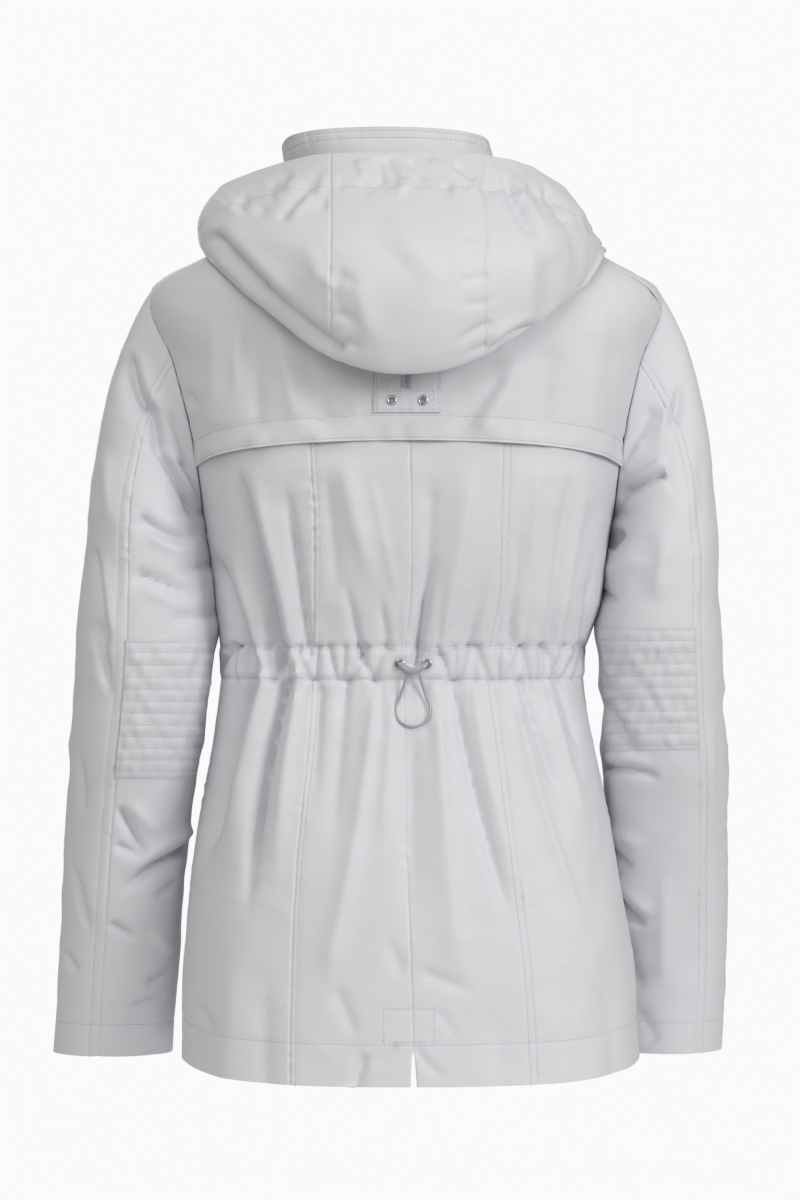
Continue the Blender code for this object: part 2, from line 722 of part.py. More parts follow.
def placed(point, normal, up=Vector((0.0, 0.0, 1.0))):
    """A frame at a point: its z runs out along the normal and its y stays as near up as it can."""
    z = normal.normalized()
    x = up.cross(z).normalized()
    y = z.cross(x)
    frame = Matrix((x, y, z)).transposed().to_4x4()
    frame.translation = point
    return frame


def turned(name, profile, steps, frame, colour):
    """A ring turned from a closed profile of radius and height."""
    points = []
    for k in range(steps):
        a = math.tau * k / steps
        for radius, height in profile:
            points.append(frame @ Vector((radius * math.cos(a), radius * math.sin(a), height)))
    count = len(profile)
    faces = []
    for k in range(steps):
        for i in range(count):
            a = k * count + i
            b = k * count + (i + 1) % count
            c = ((k + 1) % steps) * count + (i + 1) % count
            d = ((k + 1) % steps) * count + i
            faces.append((a, b, c, d))
    return finish_mesh(name, points, faces, colour)


EYELET_PROFILE = (
    (EYELET_RADIUS, 0.0),
    (EYELET_RADIUS * 0.90, EYELET_FLANGE * 0.75),
    (EYELET_RADIUS * 0.74, EYELET_FLANGE),
    (EYELET_HOLE * 1.12, EYELET_FLANGE * 0.7),
    (EYELET_HOLE, 0.0),
)


def punch(cloth, frame):
    """A round hole through a piece of cloth, for an eyelet."""
    mesh = bpy.data.meshes.new("punch")
    shaped = bmesh.new()
    bmesh.ops.create_cone(shaped, cap_ends=True, segments=16, radius1=EYELET_HOLE, radius2=EYELET_HOLE,
                          depth=0.012, matrix=frame)
    shaped.to_mesh(mesh)
    shaped.free()
    cutter = bpy.data.objects.new("punch", mesh)
    bpy.context.scene.collection.objects.link(cutter)
    cut = cloth.modifiers.new("hole", "BOOLEAN")
    cut.operation = "DIFFERENCE"
    cut.solver = "EXACT"
    cut.object = cutter
    bpy.context.view_layer.update()
    graph = bpy.context.evaluated_depsgraph_get()
    result = bpy.data.meshes.new_from_object(cloth.evaluated_get(graph))
    cloth.modifiers.clear()
    cloth.data = result
    bpy.data.objects.remove(cutter)


def angle_at(x, height):
    """Angle on the back of the torso at a distance from the centre back."""
    ring = row_at(TORSO, height)
    return math.degrees(math.asin((x - ring.centre_x) / (ring.half_width * (1 + SQUARENESS))))


def casing_angle(u, height):
    """Angle across the casing: its columns are those of the panels that it lies on."""
    columns = CENTRE_COLUMNS + SIDE_COLUMNS
    place = abs(mix(-columns, columns, u))
    seam = row_at(PRINCESS, height).angle
    if place < CENTRE_COLUMNS:
        angle = seam * place / CENTRE_COLUMNS
    else:
        angle = mix(seam, SIDE_SEAM_ANGLE, (place - CENTRE_COLUMNS) / SIDE_COLUMNS)
    return math.copysign(angle, u - 0.5)


def build_waist():
    out = CLOTH + SEAM_GAP

    def casing_at(u, v):
        height = mix(CASING_TOP, CASING_BOTTOM, v)
        return torso(casing_angle(u, height), height, out)

    casing = wall("waist_casing", casing_at, 2 * (CENTRE_COLUMNS + SIDE_COLUMNS), 2, inset=0.0)
    for side, sign in SIDES.items():
        angle = angle_at(WAIST_CORD_MIDDLE + sign * WAIST_EYELETS_APART / 2, WAIST_EYELET_HEIGHT)
        normal = ring_normal(TORSO, angle, WAIST_EYELET_HEIGHT)
        punch(casing, placed(torso(angle, WAIST_EYELET_HEIGHT, out), normal))
        seat = torso(angle, WAIST_EYELET_HEIGHT, out + 0.0006)
        turned(f"waist_eyelet_{side}", EYELET_PROFILE, 16, placed(seat, normal), "metal")


def tube(name, route, diameter, colour):
    curve = bpy.data.curves.new(name, "CURVE")
    curve.dimensions = "3D"
    curve.bevel_depth = diameter / 2
    curve.bevel_resolution = 2
    curve.use_fill_caps = True
    spline = curve.splines.new("POLY")
    spline.points.add(len(route) - 1)
    for place, point in zip(spline.points, route):
        place.co = (point.x, point.y, point.z, 1.0)
    made = bpy.data.objects.new(name, curve)
    bpy.context.scene.collection.objects.link(made)
    bpy.context.view_layer.update()
    mesh = bpy.data.meshes.new_from_object(made.evaluated_get(bpy.context.evaluated_depsgraph_get()))
    bpy.data.objects.remove(made)
    mesh.materials.clear()
    shaped = bmesh.new()
    shaped.from_mesh(mesh)
    bmesh.ops.remove_doubles(shaped, verts=shaped.verts[:], dist=0.00002)
    bmesh.ops.recalc_face_normals(shaped, faces=shaped.faces[:])
    shaped.to_mesh(mesh)
    shaped.free()
    return make_object(name, mesh, colour)


# Cord: half of each route, as the distance from its middle, the stand off the casing, and the height
CordPlace = namedtuple("CordPlace", "x out z")
SLEEVE_ROUTE = (
    CordPlace(0.0110, 0.0006, -0.3730),
    CordPlace(0.0110, 0.0034, -0.3730),
    CordPlace(0.0094, 0.0062, -0.3741),
    CordPlace(0.0050, 0.0072, -0.3776),
    CordPlace(0.0000, 0.0074, -0.3790),
)
LOOP_ROUTE = (
    CordPlace(0.0052, 0.0072, -0.3812),
    CordPlace(0.0068, 0.0064, -0.3880),
    CordPlace(0.0105, 0.0048, -0.3990),
    CordPlace(0.0140, 0.0030, -0.4085),
    CordPlace(0.0128, 0.0030, -0.4180),
    CordPlace(0.0072, 0.0030, -0.4235),
    CordPlace(0.0000, 0.0030, -0.4255),
)


def cord_route(half, tree, clearance, steps):
    """A whole route from its half: out of the left, through the middle, to the right."""
    seat = torso(0.0, WAIST_EYELET_HEIGHT).y
    stations = [Vector((place.x, seat + place.out, place.z)) for place in half]
    stations += [Vector((-place.x, seat + place.out, place.z)) for place in reversed(half[:-1])]
    stations = [point + Vector((WAIST_CORD_MIDDLE, 0.0, 0.0)) for point in stations]
    route = []
    for k in range(steps + 1):
        point = curve_through(stations, k / steps)
        route.append(lifted(tree, point, clearance))
    return route


def build_cord(tree):
    tube("cord_sleeve", cord_route(SLEEVE_ROUTE, tree, 0.0004, 16), CORD_SLEEVE, "cord")
    tube("cord_loop", cord_route(LOOP_ROUTE, tree, CORD_LOOP / 2 + 0.0006, 30), CORD_LOOP, "cord")


def on_yoke(x, height, out):
    angle = angle_at(x, height)
    return torso(angle, height, out)


def build_yoke_trim():
    patch_out = 0.0010 + SEAM_GAP

    def patch_at(u, v):
        return on_yoke(mix(-0.5, 0.5, u) * TAB_WIDTH, mix(PATCH_TOP, TAB_TOP, v), patch_out)

    def zip_at(u, v):
        return on_yoke(mix(-0.5, 0.5, u) * YOKE_ZIP_WIDTH, mix(PATCH_TOP, TAB_TOP, v), patch_out + 0.0016)

    def tab_at(u, v):
        return on_yoke(mix(-0.5, 0.5, u) * TAB_WIDTH, mix(TAB_TOP, TAB_BOTTOM, v), DOUBLE_CLOTH + SEAM_GAP)

    wall("yoke_zip_patch", patch_at, 6, 6, thickness=0.0010, colour="patch")
    wall("yoke_zip", zip_at, 2, 6, thickness=0.0013, colour="zip")
    tab = wall("yoke_tab", tab_at, 6, 2, thickness=DOUBLE_CLOTH)
    height = mix(TAB_TOP, TAB_BOTTOM, 0.5)
    for side, sign in SIDES.items():
        x = sign * TAB_EYELETS_APART / 2
        normal = ring_normal(TORSO, angle_at(x, height), height)
        punch(tab, placed(on_yoke(x, height, DOUBLE_CLOTH), normal))
        seat = on_yoke(x, height, DOUBLE_CLOTH + SEAM_GAP + 0.0003)
        turned(f"yoke_eyelet_{side}", EYELET_PROFILE, 16, placed(seat, normal), "metal")


# Front zip

def zip_stations():
    """Places and outward directions up the front edge, at the rows of the fronts and of the collar."""
    stations = []
    for j in range(FRONT_ROWS, round(FRONT_NECK_SHARE * FRONT_ROWS), -1):
        height = front_zip_edge(j / FRONT_ROWS)[1]
        if j == FRONT_ROWS:
            height += 0.002
        stations.append((torso(180.0, height), ring_normal(TORSO, 180.0, height)))
    turn = ring_normal(TORSO, 180.0, 0.0) + ring_normal(COLLAR, 180.0, 0.0)
    stations.append((on_ring(COLLAR, 180.0, 0.0), turn.normalized()))
    top = COLLAR[-1].height
    for height in (0.5 * top, top - 0.002):
        stations.append((on_ring(COLLAR, 180.0, height), ring_normal(COLLAR, 180.0, height)))
    return stations


def build_front_zip():
    back = -(ZIP_BEHIND + ZIP_TAPE_THICK)
    face = -ZIP_BEHIND
    profile = ((-ZIP_TAPE, back), (ZIP_TAPE, back), (ZIP_TAPE, face), (ZIP_TEETH, face),
               (ZIP_TEETH, ZIP_TEETH_OUT), (-ZIP_TEETH, ZIP_TEETH_OUT), (-ZIP_TEETH, face), (-ZIP_TAPE, face))
    points = []
    stations = zip_stations()
    for place, normal in stations:
        for x, out in profile:
            points.append(place + Vector((x, 0.0, 0.0)) + Vector((0.0, normal.y, normal.z)) * out)
    count = len(profile)
    faces = []
    for k in range(len(stations) - 1):
        for i in range(count):
            a = k * count + i
            b = k * count + (i + 1) % count
            faces.append((a, b, b + count, a + count))
    faces.append((0, 1, 2, 7))
    faces.append((2, 3, 6, 7))
    faces.append((3, 4, 5, 6))
    end = (len(stations) - 1) * count
    faces.append((end, end + 7, end + 2, end + 1))
    faces.append((end + 2, end + 7, end + 6, end + 3))
    faces.append((end + 3, end + 6, end + 5, end + 4))
    finish_mesh("front_zip", points, faces, "zip")


def block(shaped, size, middle):
    bmesh.ops.create_cube(shaped, size=1.0,
                          matrix=Matrix.Translation(middle) @ Matrix.Diagonal((*size, 1.0)))


def rod(shaped, radius, length, middle, segments=16):
    turn = Matrix.Rotation(math.pi / 2, 4, "Y")
    bmesh.ops.create_cone(shaped, cap_ends=True, segments=segments, radius1=radius, radius2=radius,
                          depth=length, matrix=Matrix.Translation(middle) @ turn)


def solid(name, make, colour):
    mesh = bpy.data.meshes.new(name)
    shaped = bmesh.new()
    make(shaped)
    shaped.to_mesh(mesh)
    shaped.free()
    return make_object(name, mesh, colour)


def combine(first, second, operation):
    """One body from two: the second is used up."""
    step = first.modifiers.new("combine", "BOOLEAN")
    step.operation = operation
    step.solver = "EXACT"
    step.object = second
    bpy.context.view_layer.update()
    result = bpy.data.meshes.new_from_object(first.evaluated_get(bpy.context.evaluated_depsgraph_get()))
    first.modifiers.clear()
    first.data = result
    bpy.data.objects.remove(second)


PULL_BAR = 0.0008
PULL_EYE = 0.0023
PULL_LENGTH = 0.026


def build_slider():
    """The slider at the top of the zip, with a bar between two posts, and the pull that hangs on the bar."""
    place = on_ring(COLLAR, 180.0, 0.040)
    face = place.y - ZIP_TEETH_OUT - SLIDER_GAP
    z = place.z
    bar = Vector((place.x, face - 0.0056, z))
    body = solid("zip_slider", lambda s: block(s, (0.0074, 0.0026, 0.0110), (place.x, face - 0.0013, z)), "metal")
    for x in (place.x - 0.0033, place.x + 0.0033):
        post = solid("post", lambda s, x=x: block(s, (0.0010, 0.0054, 0.0036), (x, face - 0.0045, z)), "metal")
        combine(body, post, "UNION")
    pin = solid("pin", lambda s: rod(s, PULL_BAR, 0.0066, bar), "metal")
    combine(body, pin, "UNION")

    pull = solid("zip_pull", lambda s: rod(s, PULL_EYE, 0.0050, bar, 20), "metal")
    middle = bar + Vector((0.0, 0.0, -PULL_EYE / 2 - PULL_LENGTH / 2))
    plate = solid("plate", lambda s: block(s, (0.0046, 0.0014, PULL_LENGTH), middle), "metal")
    combine(pull, plate, "UNION")
    hole = solid("hole", lambda s: rod(s, PULL_BAR + 0.0004, 0.0080, bar), "metal")
    combine(pull, hole, "DIFFERENCE")


def build():
    for old in list(bpy.data.objects):
        bpy.data.objects.remove(old)
    build_torso()
    body = list(OUTER_FACES)
    build_collar_and_hood(surface_of(body))
    build_sleeves()
    build_waist()
    build_cord(surface_of(body + ["waist_casing"]))
    build_yoke_trim()
    build_front_zip()
    build_slider()


build()
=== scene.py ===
# %% [markdown]
# # A rain jacket, filled out as if it were worn
#
# The object is a light grey hooded rain jacket that keeps the shape of a wearer who is not there. Its back
# faces the camera: the hood is down, the waist is drawn in by a cord, and the yoke ends in a loose flap.
# A CAD model already holds every panel as a plain closed wall. This file loads that model as a fixed frame
# and makes the cloth, stitches, zips and cord that are seen.

# %% The frame
import math
from collections import namedtuple

import bpy
import numpy as np
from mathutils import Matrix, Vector
from mathutils.bvhtree import BVHTree


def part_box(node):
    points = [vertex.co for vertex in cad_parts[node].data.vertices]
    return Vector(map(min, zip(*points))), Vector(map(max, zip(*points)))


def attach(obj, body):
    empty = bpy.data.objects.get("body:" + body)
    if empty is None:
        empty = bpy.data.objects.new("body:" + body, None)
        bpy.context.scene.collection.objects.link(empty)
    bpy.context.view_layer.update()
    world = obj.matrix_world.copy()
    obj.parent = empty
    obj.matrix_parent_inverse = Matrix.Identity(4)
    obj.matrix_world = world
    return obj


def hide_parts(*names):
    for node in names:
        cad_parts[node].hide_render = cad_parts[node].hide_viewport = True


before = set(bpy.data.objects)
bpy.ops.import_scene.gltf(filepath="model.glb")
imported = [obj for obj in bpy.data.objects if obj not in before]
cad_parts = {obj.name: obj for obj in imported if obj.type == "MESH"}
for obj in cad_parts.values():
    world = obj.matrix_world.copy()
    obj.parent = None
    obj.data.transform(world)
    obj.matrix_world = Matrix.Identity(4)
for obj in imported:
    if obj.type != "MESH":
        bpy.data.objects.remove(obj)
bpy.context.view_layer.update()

BODY = "jacket"
MM = 0.001

# %% [markdown]
# ## Camera
#
# The picture is taken level, from behind, with a long lens. The frame is 1.008 m tall at the jacket, so the
# lens follows from that height, the distance and a 36 mm sensor on the long side.

# %% Camera
CAMERA_TARGET = Vector((0.0042, 0.0, -0.321))
CAMERA_AZIMUTH = math.radians(179.2)
CAMERA_DISTANCE = 3.2
FRAME_HEIGHT = 1.008
SENSOR = 36.0


def placed(name, data):
    """A new object in the scene, at the origin, unturned and unscaled."""
    made = bpy.data.objects.new(name, data)
    bpy.context.scene.collection.objects.link(made)
    return made


def facing(place, target):
    """The turn that points a camera or a lamp from one place to another."""
    return (Vector(target) - Vector(place)).to_track_quat("-Z", "Y").to_euler()


camera = placed("camera", bpy.data.cameras.new("camera"))
camera.data.sensor_width = SENSOR
camera.data.lens = SENSOR * CAMERA_DISTANCE / FRAME_HEIGHT
backward = Vector((math.sin(CAMERA_AZIMUTH), -math.cos(CAMERA_AZIMUTH), 0.0))
camera.location = CAMERA_TARGET + backward * CAMERA_DISTANCE
camera.rotation_euler = facing(camera.location, CAMERA_TARGET)
bpy.context.scene.camera = camera
print("lens", round(camera.data.lens, 1), "mm")

# %% [markdown]
# ## Light and floor
#
# A studio sweep gives an almost white ground, so the world shows that white to the camera and gives less
# of it as light. Four soft lamps shade the folds. The key stands high on the picture's right and
# leaves the left side of every fold darker. A weaker one beside the camera fills that shade, one from
# above lights the shoulders, and one lights the front, which the picture does not show.

# %% Light
GROUND_WHITE = "#FAFAFC"
AMBIENT = 0.38
Lamp = namedtuple("Lamp", "name place target size watts")
LAMPS = (
    Lamp("key", (-2.3, 2.2, 0.7), (0.0, 0.0, -0.3), 1.1, 52.0),
    Lamp("fill", (0.7, 3.0, 0.9), (0.0, 0.0, -0.2), 1.4, 23.0),
    Lamp("top", (1.0, 1.3, 2.0), (0.0, 0.0, -0.2), 1.4, 15.0),
    Lamp("front", (0.5, -3.0, 0.6), (0.0, 0.0, -0.35), 1.6, 36.0),
)


def linear(colour):
    """An sRGB hex colour as linear red, green, blue and alpha."""
    parts = [int(colour[k:k + 2], 16) / 255 for k in (1, 3, 5)]
    return (*[p / 12.92 if p <= 0.04045 else ((p + 0.055) / 1.055) ** 2.4 for p in parts], 1.0)


def add(tree, kind, inputs=(), **settings):
    """One node: inputs pair a socket with a value or with another node's output."""
    node = tree.nodes.new(kind)
    for key, value in settings.items():
        setattr(node, key, value)
    for socket, value in dict(inputs).items():
        if isinstance(value, bpy.types.NodeSocket):
            tree.links.new(value, node.inputs[socket])
        else:
            node.inputs[socket].default_value = value
    return node


world = bpy.data.worlds.new("studio")
bpy.context.scene.world = world
world.use_nodes = True
sky = world.node_tree
sky.nodes.clear()
lit = add(sky, "ShaderNodeBackground", {"Color": (1.0, 1.0, 1.0, 1.0), "Strength": AMBIENT})
shown = add(sky, "ShaderNodeBackground", {"Color": linear(GROUND_WHITE), "Strength": 1.0})
path = add(sky, "ShaderNodeLightPath")
both = add(sky, "ShaderNodeMixShader",
           {0: path.outputs["Is Camera Ray"], 1: lit.outputs[0], 2: shown.outputs[0]})
add(sky, "ShaderNodeOutputWorld", {"Surface": both.outputs[0]})
bpy.context.scene.view_settings.view_transform = "Standard"

for lamp in LAMPS:
    light = bpy.data.lights.new(lamp.name, "AREA")
    light.size = lamp.size
    light.energy = lamp.watts
    made = placed(lamp.name, light)
    made.location = lamp.place
    made.rotation_euler = facing(lamp.place, lamp.target)
print("lamps", [lamp.name for lamp in LAMPS])

# %% [markdown]
# A jacket on an unseen figure stands on nothing. A small pale disc below it is only there to take its soft
# shadow, and it is no part of the object.

# %% Floor
FLOOR_Z = -1.0
FLOOR_RADIUS = 0.9
FLOOR_STEPS = 96
FLOOR_GREY = "#F2F2F3"
FLOOR_ROUGHNESS = 0.8


def start_material(name):
    """A new material with its node tree and its Principled shader."""
    material = bpy.data.materials.new(name)
    material.use_nodes = True
    return material, material.node_tree, material.node_tree.nodes["Principled BSDF"]


turns = [math.tau * k / FLOOR_STEPS for k in range(FLOOR_STEPS)]
floor_mesh = bpy.data.meshes.new("floor")
floor_mesh.from_pydata([(FLOOR_RADIUS * math.cos(t), FLOOR_RADIUS * math.sin(t), FLOOR_Z) for t in turns], [],
                       [tuple(range(FLOOR_STEPS))])
pale, _, pale_shader = start_material("pale_floor_paint")
pale_shader.inputs["Base Color"].default_value = linear(FLOOR_GREY)
pale_shader.inputs["Roughness"].default_value = FLOOR_ROUGHNESS
floor_mesh.materials.append(pale)
floor = placed("floor", floor_mesh)
print("floor", 2 * FLOOR_RADIUS, "m across")

# %% [markdown]
# ## Finishes
#
# The jacket is a plain-woven polyester and nylon cloth with a thin coating: pale grey, a little silvery,
# with broad soft highlights. The threads are about 0.25 mm apart, too fine to show, so they are drawn
# 1 mm apart. A larger pattern gives the small crinkles that such stiff thin cloth keeps, a third one its
# sharp creases, and a faint mottle keeps the colour from being flat. All are worked out by nodes from places
# on the cloth, so no picture is needed.

# %% Cloth finish
# one wave of a Wave texture at scale 1 is this long
WAVE_PERIOD = math.tau / 20
THREADS_APART = 1.0 * MM
CRINKLE_SIZE = 16 * MM
CREASE_SIZE = 42 * MM
CREASE_SHARE = 1.6
MOTTLE_SIZE = 70 * MM


def woven_cloth(name, light, dark, roughness, sheen, crinkle):
    """Coated plain weave: threads both ways on the piece's own UV map, which is in metres."""
    material, tree, shader = start_material(name)
    place = add(tree, "ShaderNodeTexCoord")
    threads = []
    for direction in ("X", "Y"):
        wave = add(tree, "ShaderNodeTexWave",
                   {"Vector": place.outputs["UV"], "Scale": WAVE_PERIOD / THREADS_APART, "Distortion": 0.4},
                   bands_direction=direction)
        threads.append(wave.outputs["Fac"])
    weave = add(tree, "ShaderNodeMath", {0: threads[0], 1: threads[1]}, operation="MULTIPLY")
    small = add(tree, "ShaderNodeTexNoise",
                {"Vector": place.outputs["Object"], "Scale": 1 / CRINKLE_SIZE, "Detail": 3.0,
                 "Roughness": 0.5})
    sharp = add(tree, "ShaderNodeTexNoise",
                {"Vector": place.outputs["Object"], "Scale": 1 / CREASE_SIZE, "Detail": 2.0,
                 "Roughness": 0.5},
                noise_type="RIDGED_MULTIFRACTAL")
    large = add(tree, "ShaderNodeTexNoise",
                {"Vector": place.outputs["Object"], "Scale": 1 / MOTTLE_SIZE, "Detail": 3.0})
    # sockets 6 and 7 of a Mix node are its two colours
    colour = add(tree, "ShaderNodeMix", {"Factor": large.outputs["Fac"], 6: linear(dark), 7: linear(light)},
                 data_type="RGBA")
    threads_bump = add(tree, "ShaderNodeBump",
                       {"Height": weave.outputs[0], "Strength": 0.10, "Distance": 0.15 * MM})
    crinkle_bump = add(tree, "ShaderNodeBump", {"Height": small.outputs["Fac"], "Strength": crinkle,
                                                "Distance": 1.2 * MM, "Normal": threads_bump.outputs[0]})
    crease_bump = add(tree, "ShaderNodeBump",
                      {"Height": sharp.outputs["Fac"], "Strength": CREASE_SHARE * crinkle,
                       "Distance": 1.0 * MM, "Normal": crinkle_bump.outputs[0]})
    tree.links.new(colour.outputs[2], shader.inputs["Base Color"])
    tree.links.new(crease_bump.outputs[0], shader.inputs["Normal"])
    shader.inputs["Roughness"].default_value = roughness
    shader.inputs["Sheen Weight"].default_value = sheen
    shader.inputs["Sheen Roughness"].default_value = 0.4
    shader.inputs["Specular IOR Level"].default_value = 0.4
    return material


coated_cloth = woven_cloth("coated_polyester_nylon", "#D2D2D5", "#CDCDD0", 0.6, 0.05, 0.18)
patch_cloth = woven_cloth("quilted_polyester_nylon", "#CFCFD2", "#CACACD", 0.6, 0.05, 0.18)
tape_cloth = woven_cloth("woven_zip_tape", "#C9C9CC", "#C2C2C5", 0.7, 0.05, 0.1)

# %% [markdown]
# The thread is polyester, painted a shade darker than the cloth: painted shade for where it sinks into the
# cloth. The eyelets, slider and pull are nickel-plated, with a fine grain from tumbling. The zip teeth are
# moulded acetal. The pull cord is a glossy braided elastic.

# %% Thread, metal, plastic and cord finishes
ROUGHNESS_SPREAD = 0.08


def plain_finish(name, colour, roughness, metallic, grain_size, grain_bump, coat=0.0):
    """A finish with one colour and a fine grain that moves its roughness and its surface."""
    material, tree, shader = start_material(name)
    place = add(tree, "ShaderNodeTexCoord")
    grain = add(tree, "ShaderNodeTexNoise",
                {"Vector": place.outputs["Object"], "Scale": 1 / grain_size, "Detail": 2.0})
    rough = add(tree, "ShaderNodeMapRange",
                {"Value": grain.outputs["Fac"], "To Min": roughness - ROUGHNESS_SPREAD,
                 "To Max": roughness + ROUGHNESS_SPREAD})
    bump = add(tree, "ShaderNodeBump",
               {"Height": grain.outputs["Fac"], "Strength": 0.3, "Distance": grain_bump})
    tree.links.new(rough.outputs["Result"], shader.inputs["Roughness"])
    tree.links.new(bump.outputs[0], shader.inputs["Normal"])
    shader.inputs["Base Color"].default_value = linear(colour)
    shader.inputs["Metallic"].default_value = metallic
    shader.inputs["Coat Weight"].default_value = coat
    return material


# the thread's darker grey is painted shade for the groove it lies in
thread = plain_finish("polyester_thread_painted_shade", "#C2C2C7", 0.6, 0.0, 0.4 * MM, 0.05 * MM)
nickel = plain_finish("tumbled_nickel_plate", "#B4B5B8", 0.28, 1.0, 0.5 * MM, 0.02 * MM)
acetal = plain_finish("moulded_acetal", "#98989D", 0.4, 0.0, 0.8 * MM, 0.02 * MM)
elastic = plain_finish("braided_elastic", "#9C9CA1", 0.26, 0.0, 0.7 * MM, 0.06 * MM, coat=0.8)
print("finishes", [m.name for m in bpy.data.materials])

# %% [markdown]
# ## Pull cord
#
# The waist is drawn in by a cord that comes out of two eyelets at the centre back. A thick sleeve joins the
# two ends as a shallow crescent, and a thin loop hangs from it to pull on. Both are fixed lengths of
# something soft, so each is one curve with a round profile through the CAD model's points, in millimetres.

# %% Pull cord
CORD_SLEEVE = 4.2 * MM
SLEEVE_SWELL = 0.3
CORD_LOOP = 2.0 * MM
SLEEVE_POINTS = (
    (6.0, 95.6, -373.0), (6.1, 96.9, -372.9), (6.0, 98.4, -373.0), (5.5, 99.9, -373.3), (4.4, 101.2, -374.1),
    (2.4, 101.9, -375.8), (0.0, 102.2, -377.6), (-2.5, 102.4, -378.6), (-5.0, 102.4, -379.0),
    (-7.5, 102.4, -378.6), (-10.0, 102.2, -377.6), (-12.4, 101.9, -375.8), (-14.4, 101.2, -374.1),
    (-15.5, 99.9, -373.3), (-16.0, 98.4, -373.0), (-16.1, 96.8, -372.9),
)
LOOP_POINTS = (
    (0.2, 102.2, -381.2), (0.6, 102.0, -383.2), (1.3, 101.6, -386.3), (2.4, 101.1, -390.0),
    (3.9, 100.6, -394.5), (5.5, 100.3, -399.0), (7.2, 100.6, -402.6), (8.7, 101.2, -406.0),
    (9.2, 101.9, -409.7), (8.9, 102.7, -413.5), (7.9, 103.4, -416.9), (6.1, 104.0, -419.5),
    (3.6, 104.4, -421.4), (0.9, 104.7, -422.8), (-2.0, 104.9, -423.7), (-5.0, 105.1, -424.0),
    (-7.9, 105.1, -423.7), (-10.8, 104.9, -422.7), (-13.5, 104.7, -421.3),
    (-16.2, 104.2, -419.2), (-18.0, 103.5, -416.7), (-19.0, 102.7, -413.4), (-19.3, 101.9, -409.6),
    (-18.7, 101.2, -406.0), (-17.2, 100.6, -402.6), (-15.5, 100.3, -399.0), (-13.9, 100.6, -394.5),
    (-12.4, 101.1, -390.0), (-11.3, 101.6, -386.3), (-10.6, 102.0, -383.2), (-10.2, 102.2, -381.2),
)


def cord_curve(name, points, diameter, swell=0.0):
    """A round cord along points, thicker in the middle by the share given as swell."""
    curve = bpy.data.curves.new(name, "CURVE")
    curve.dimensions = "3D"
    curve.bevel_depth = diameter / 2
    curve.bevel_resolution = 5
    curve.use_fill_caps = True
    spline = curve.splines.new("POLY")
    spline.points.add(len(points) - 1)
    for k, (place, point) in enumerate(zip(spline.points, points)):
        place.co = (*[c * MM for c in point], 1.0)
        place.radius = 1 + swell * math.sin(math.pi * k / (len(points) - 1)) ** 2
    spline.use_smooth = True
    curve.materials.append(elastic)
    return placed(name, curve)


def length_of(points):
    """Length in metres along points in millimetres."""
    return sum(math.dist(a, b) for a, b in zip(points, points[1:])) * MM


cord_sleeve = cord_curve("pull_cord_sleeve", SLEEVE_POINTS, CORD_SLEEVE, swell=SLEEVE_SWELL)
cord_loop = cord_curve("pull_cord_loop", LOOP_POINTS, CORD_LOOP)
for piece, node in ((cord_sleeve, "cord_sleeve"), (cord_loop, "cord_loop")):
    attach(piece, BODY)
    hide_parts(node)
print("pull loop", round(length_of(LOOP_POINTS) / MM, 1), "mm long")

# %% [markdown]
# ## The form of the body
#
# Each panel lies on one closed form: rings stacked from the neckline to the hem, each with its own width and
# depth. These are the CAD model's own tables. A place on the form is an angle round the body, from the centre
# back to the wearer's left, and a height.

# %% The form of the body
HEM = -0.703
SQUARENESS = 0.14
ARCH = 4.0
NORMAL_TURN = 0.5
NORMAL_STEP = 1 * MM
ARMHOLE_HEIGHT = -0.155
ARMHOLE_HALF_HEIGHT = 0.095
ARMHOLE_HALF_ANGLE = 19.0
SIDE_SEAM = 90.0

Ring = namedtuple("Ring", "height back_z front_z centre_x half_width back front")
TORSO = (
    Ring(0.000, 0.018, -0.045, 0.0050, 0.0840, 0.070, 0.086),
    Ring(-0.024, -0.012, -0.052, 0.0020, 0.1430, 0.094, 0.094),
    Ring(-0.060, -0.070, -0.085, 0.0000, 0.2120, 0.115, 0.110),
    Ring(-0.125, -0.128, -0.135, -0.0010, 0.2010, 0.125, 0.130),
    Ring(-0.190, -0.190, -0.190, -0.0020, 0.1850, 0.128, 0.140),
    Ring(-0.254, -0.254, -0.254, -0.0030, 0.1710, 0.123, 0.134),
    Ring(-0.320, -0.320, -0.320, -0.0025, 0.1635, 0.108, 0.116),
    Ring(-0.373, -0.373, -0.373, 0.0025, 0.1520, 0.095, 0.101),
    Ring(-0.438, -0.438, -0.438, 0.0015, 0.1600, 0.106, 0.108),
    Ring(-0.539, -0.539, -0.539, 0.0000, 0.1780, 0.123, 0.120),
    Ring(-0.625, -0.625, -0.625, -0.0030, 0.1890, 0.132, 0.127),
    Ring(HEM, -0.713, -0.711, -0.0050, 0.1925, 0.137, 0.131),
)
COLLAR = (
    Ring(0.000, 0.018, -0.045, 0.005, 0.0845, 0.0705, 0.0865),
    Ring(0.028, 0.043, -0.012, 0.010, 0.0870, 0.0700, 0.0895),
    Ring(0.057, 0.068, 0.020, 0.016, 0.0875, 0.0660, 0.0905),
)


print(len(TORSO), "rings for the body and", len(COLLAR), "for the collar")

# %% [markdown]
# A smooth curve through the rings gives a place at any height, and two short steps from that place give the
# direction that looks straight out of the cloth. Working on whole grids of places at once keeps this quick.

# %% Places on the form


def ease(t):
    """Soft step from 0 to 1."""
    t = np.clip(t, 0.0, 1.0)
    return t * t * (3 - 2 * t)


def mix(a, b, t):
    """From a at 0 to b at 1."""
    return a + (b - a) * t


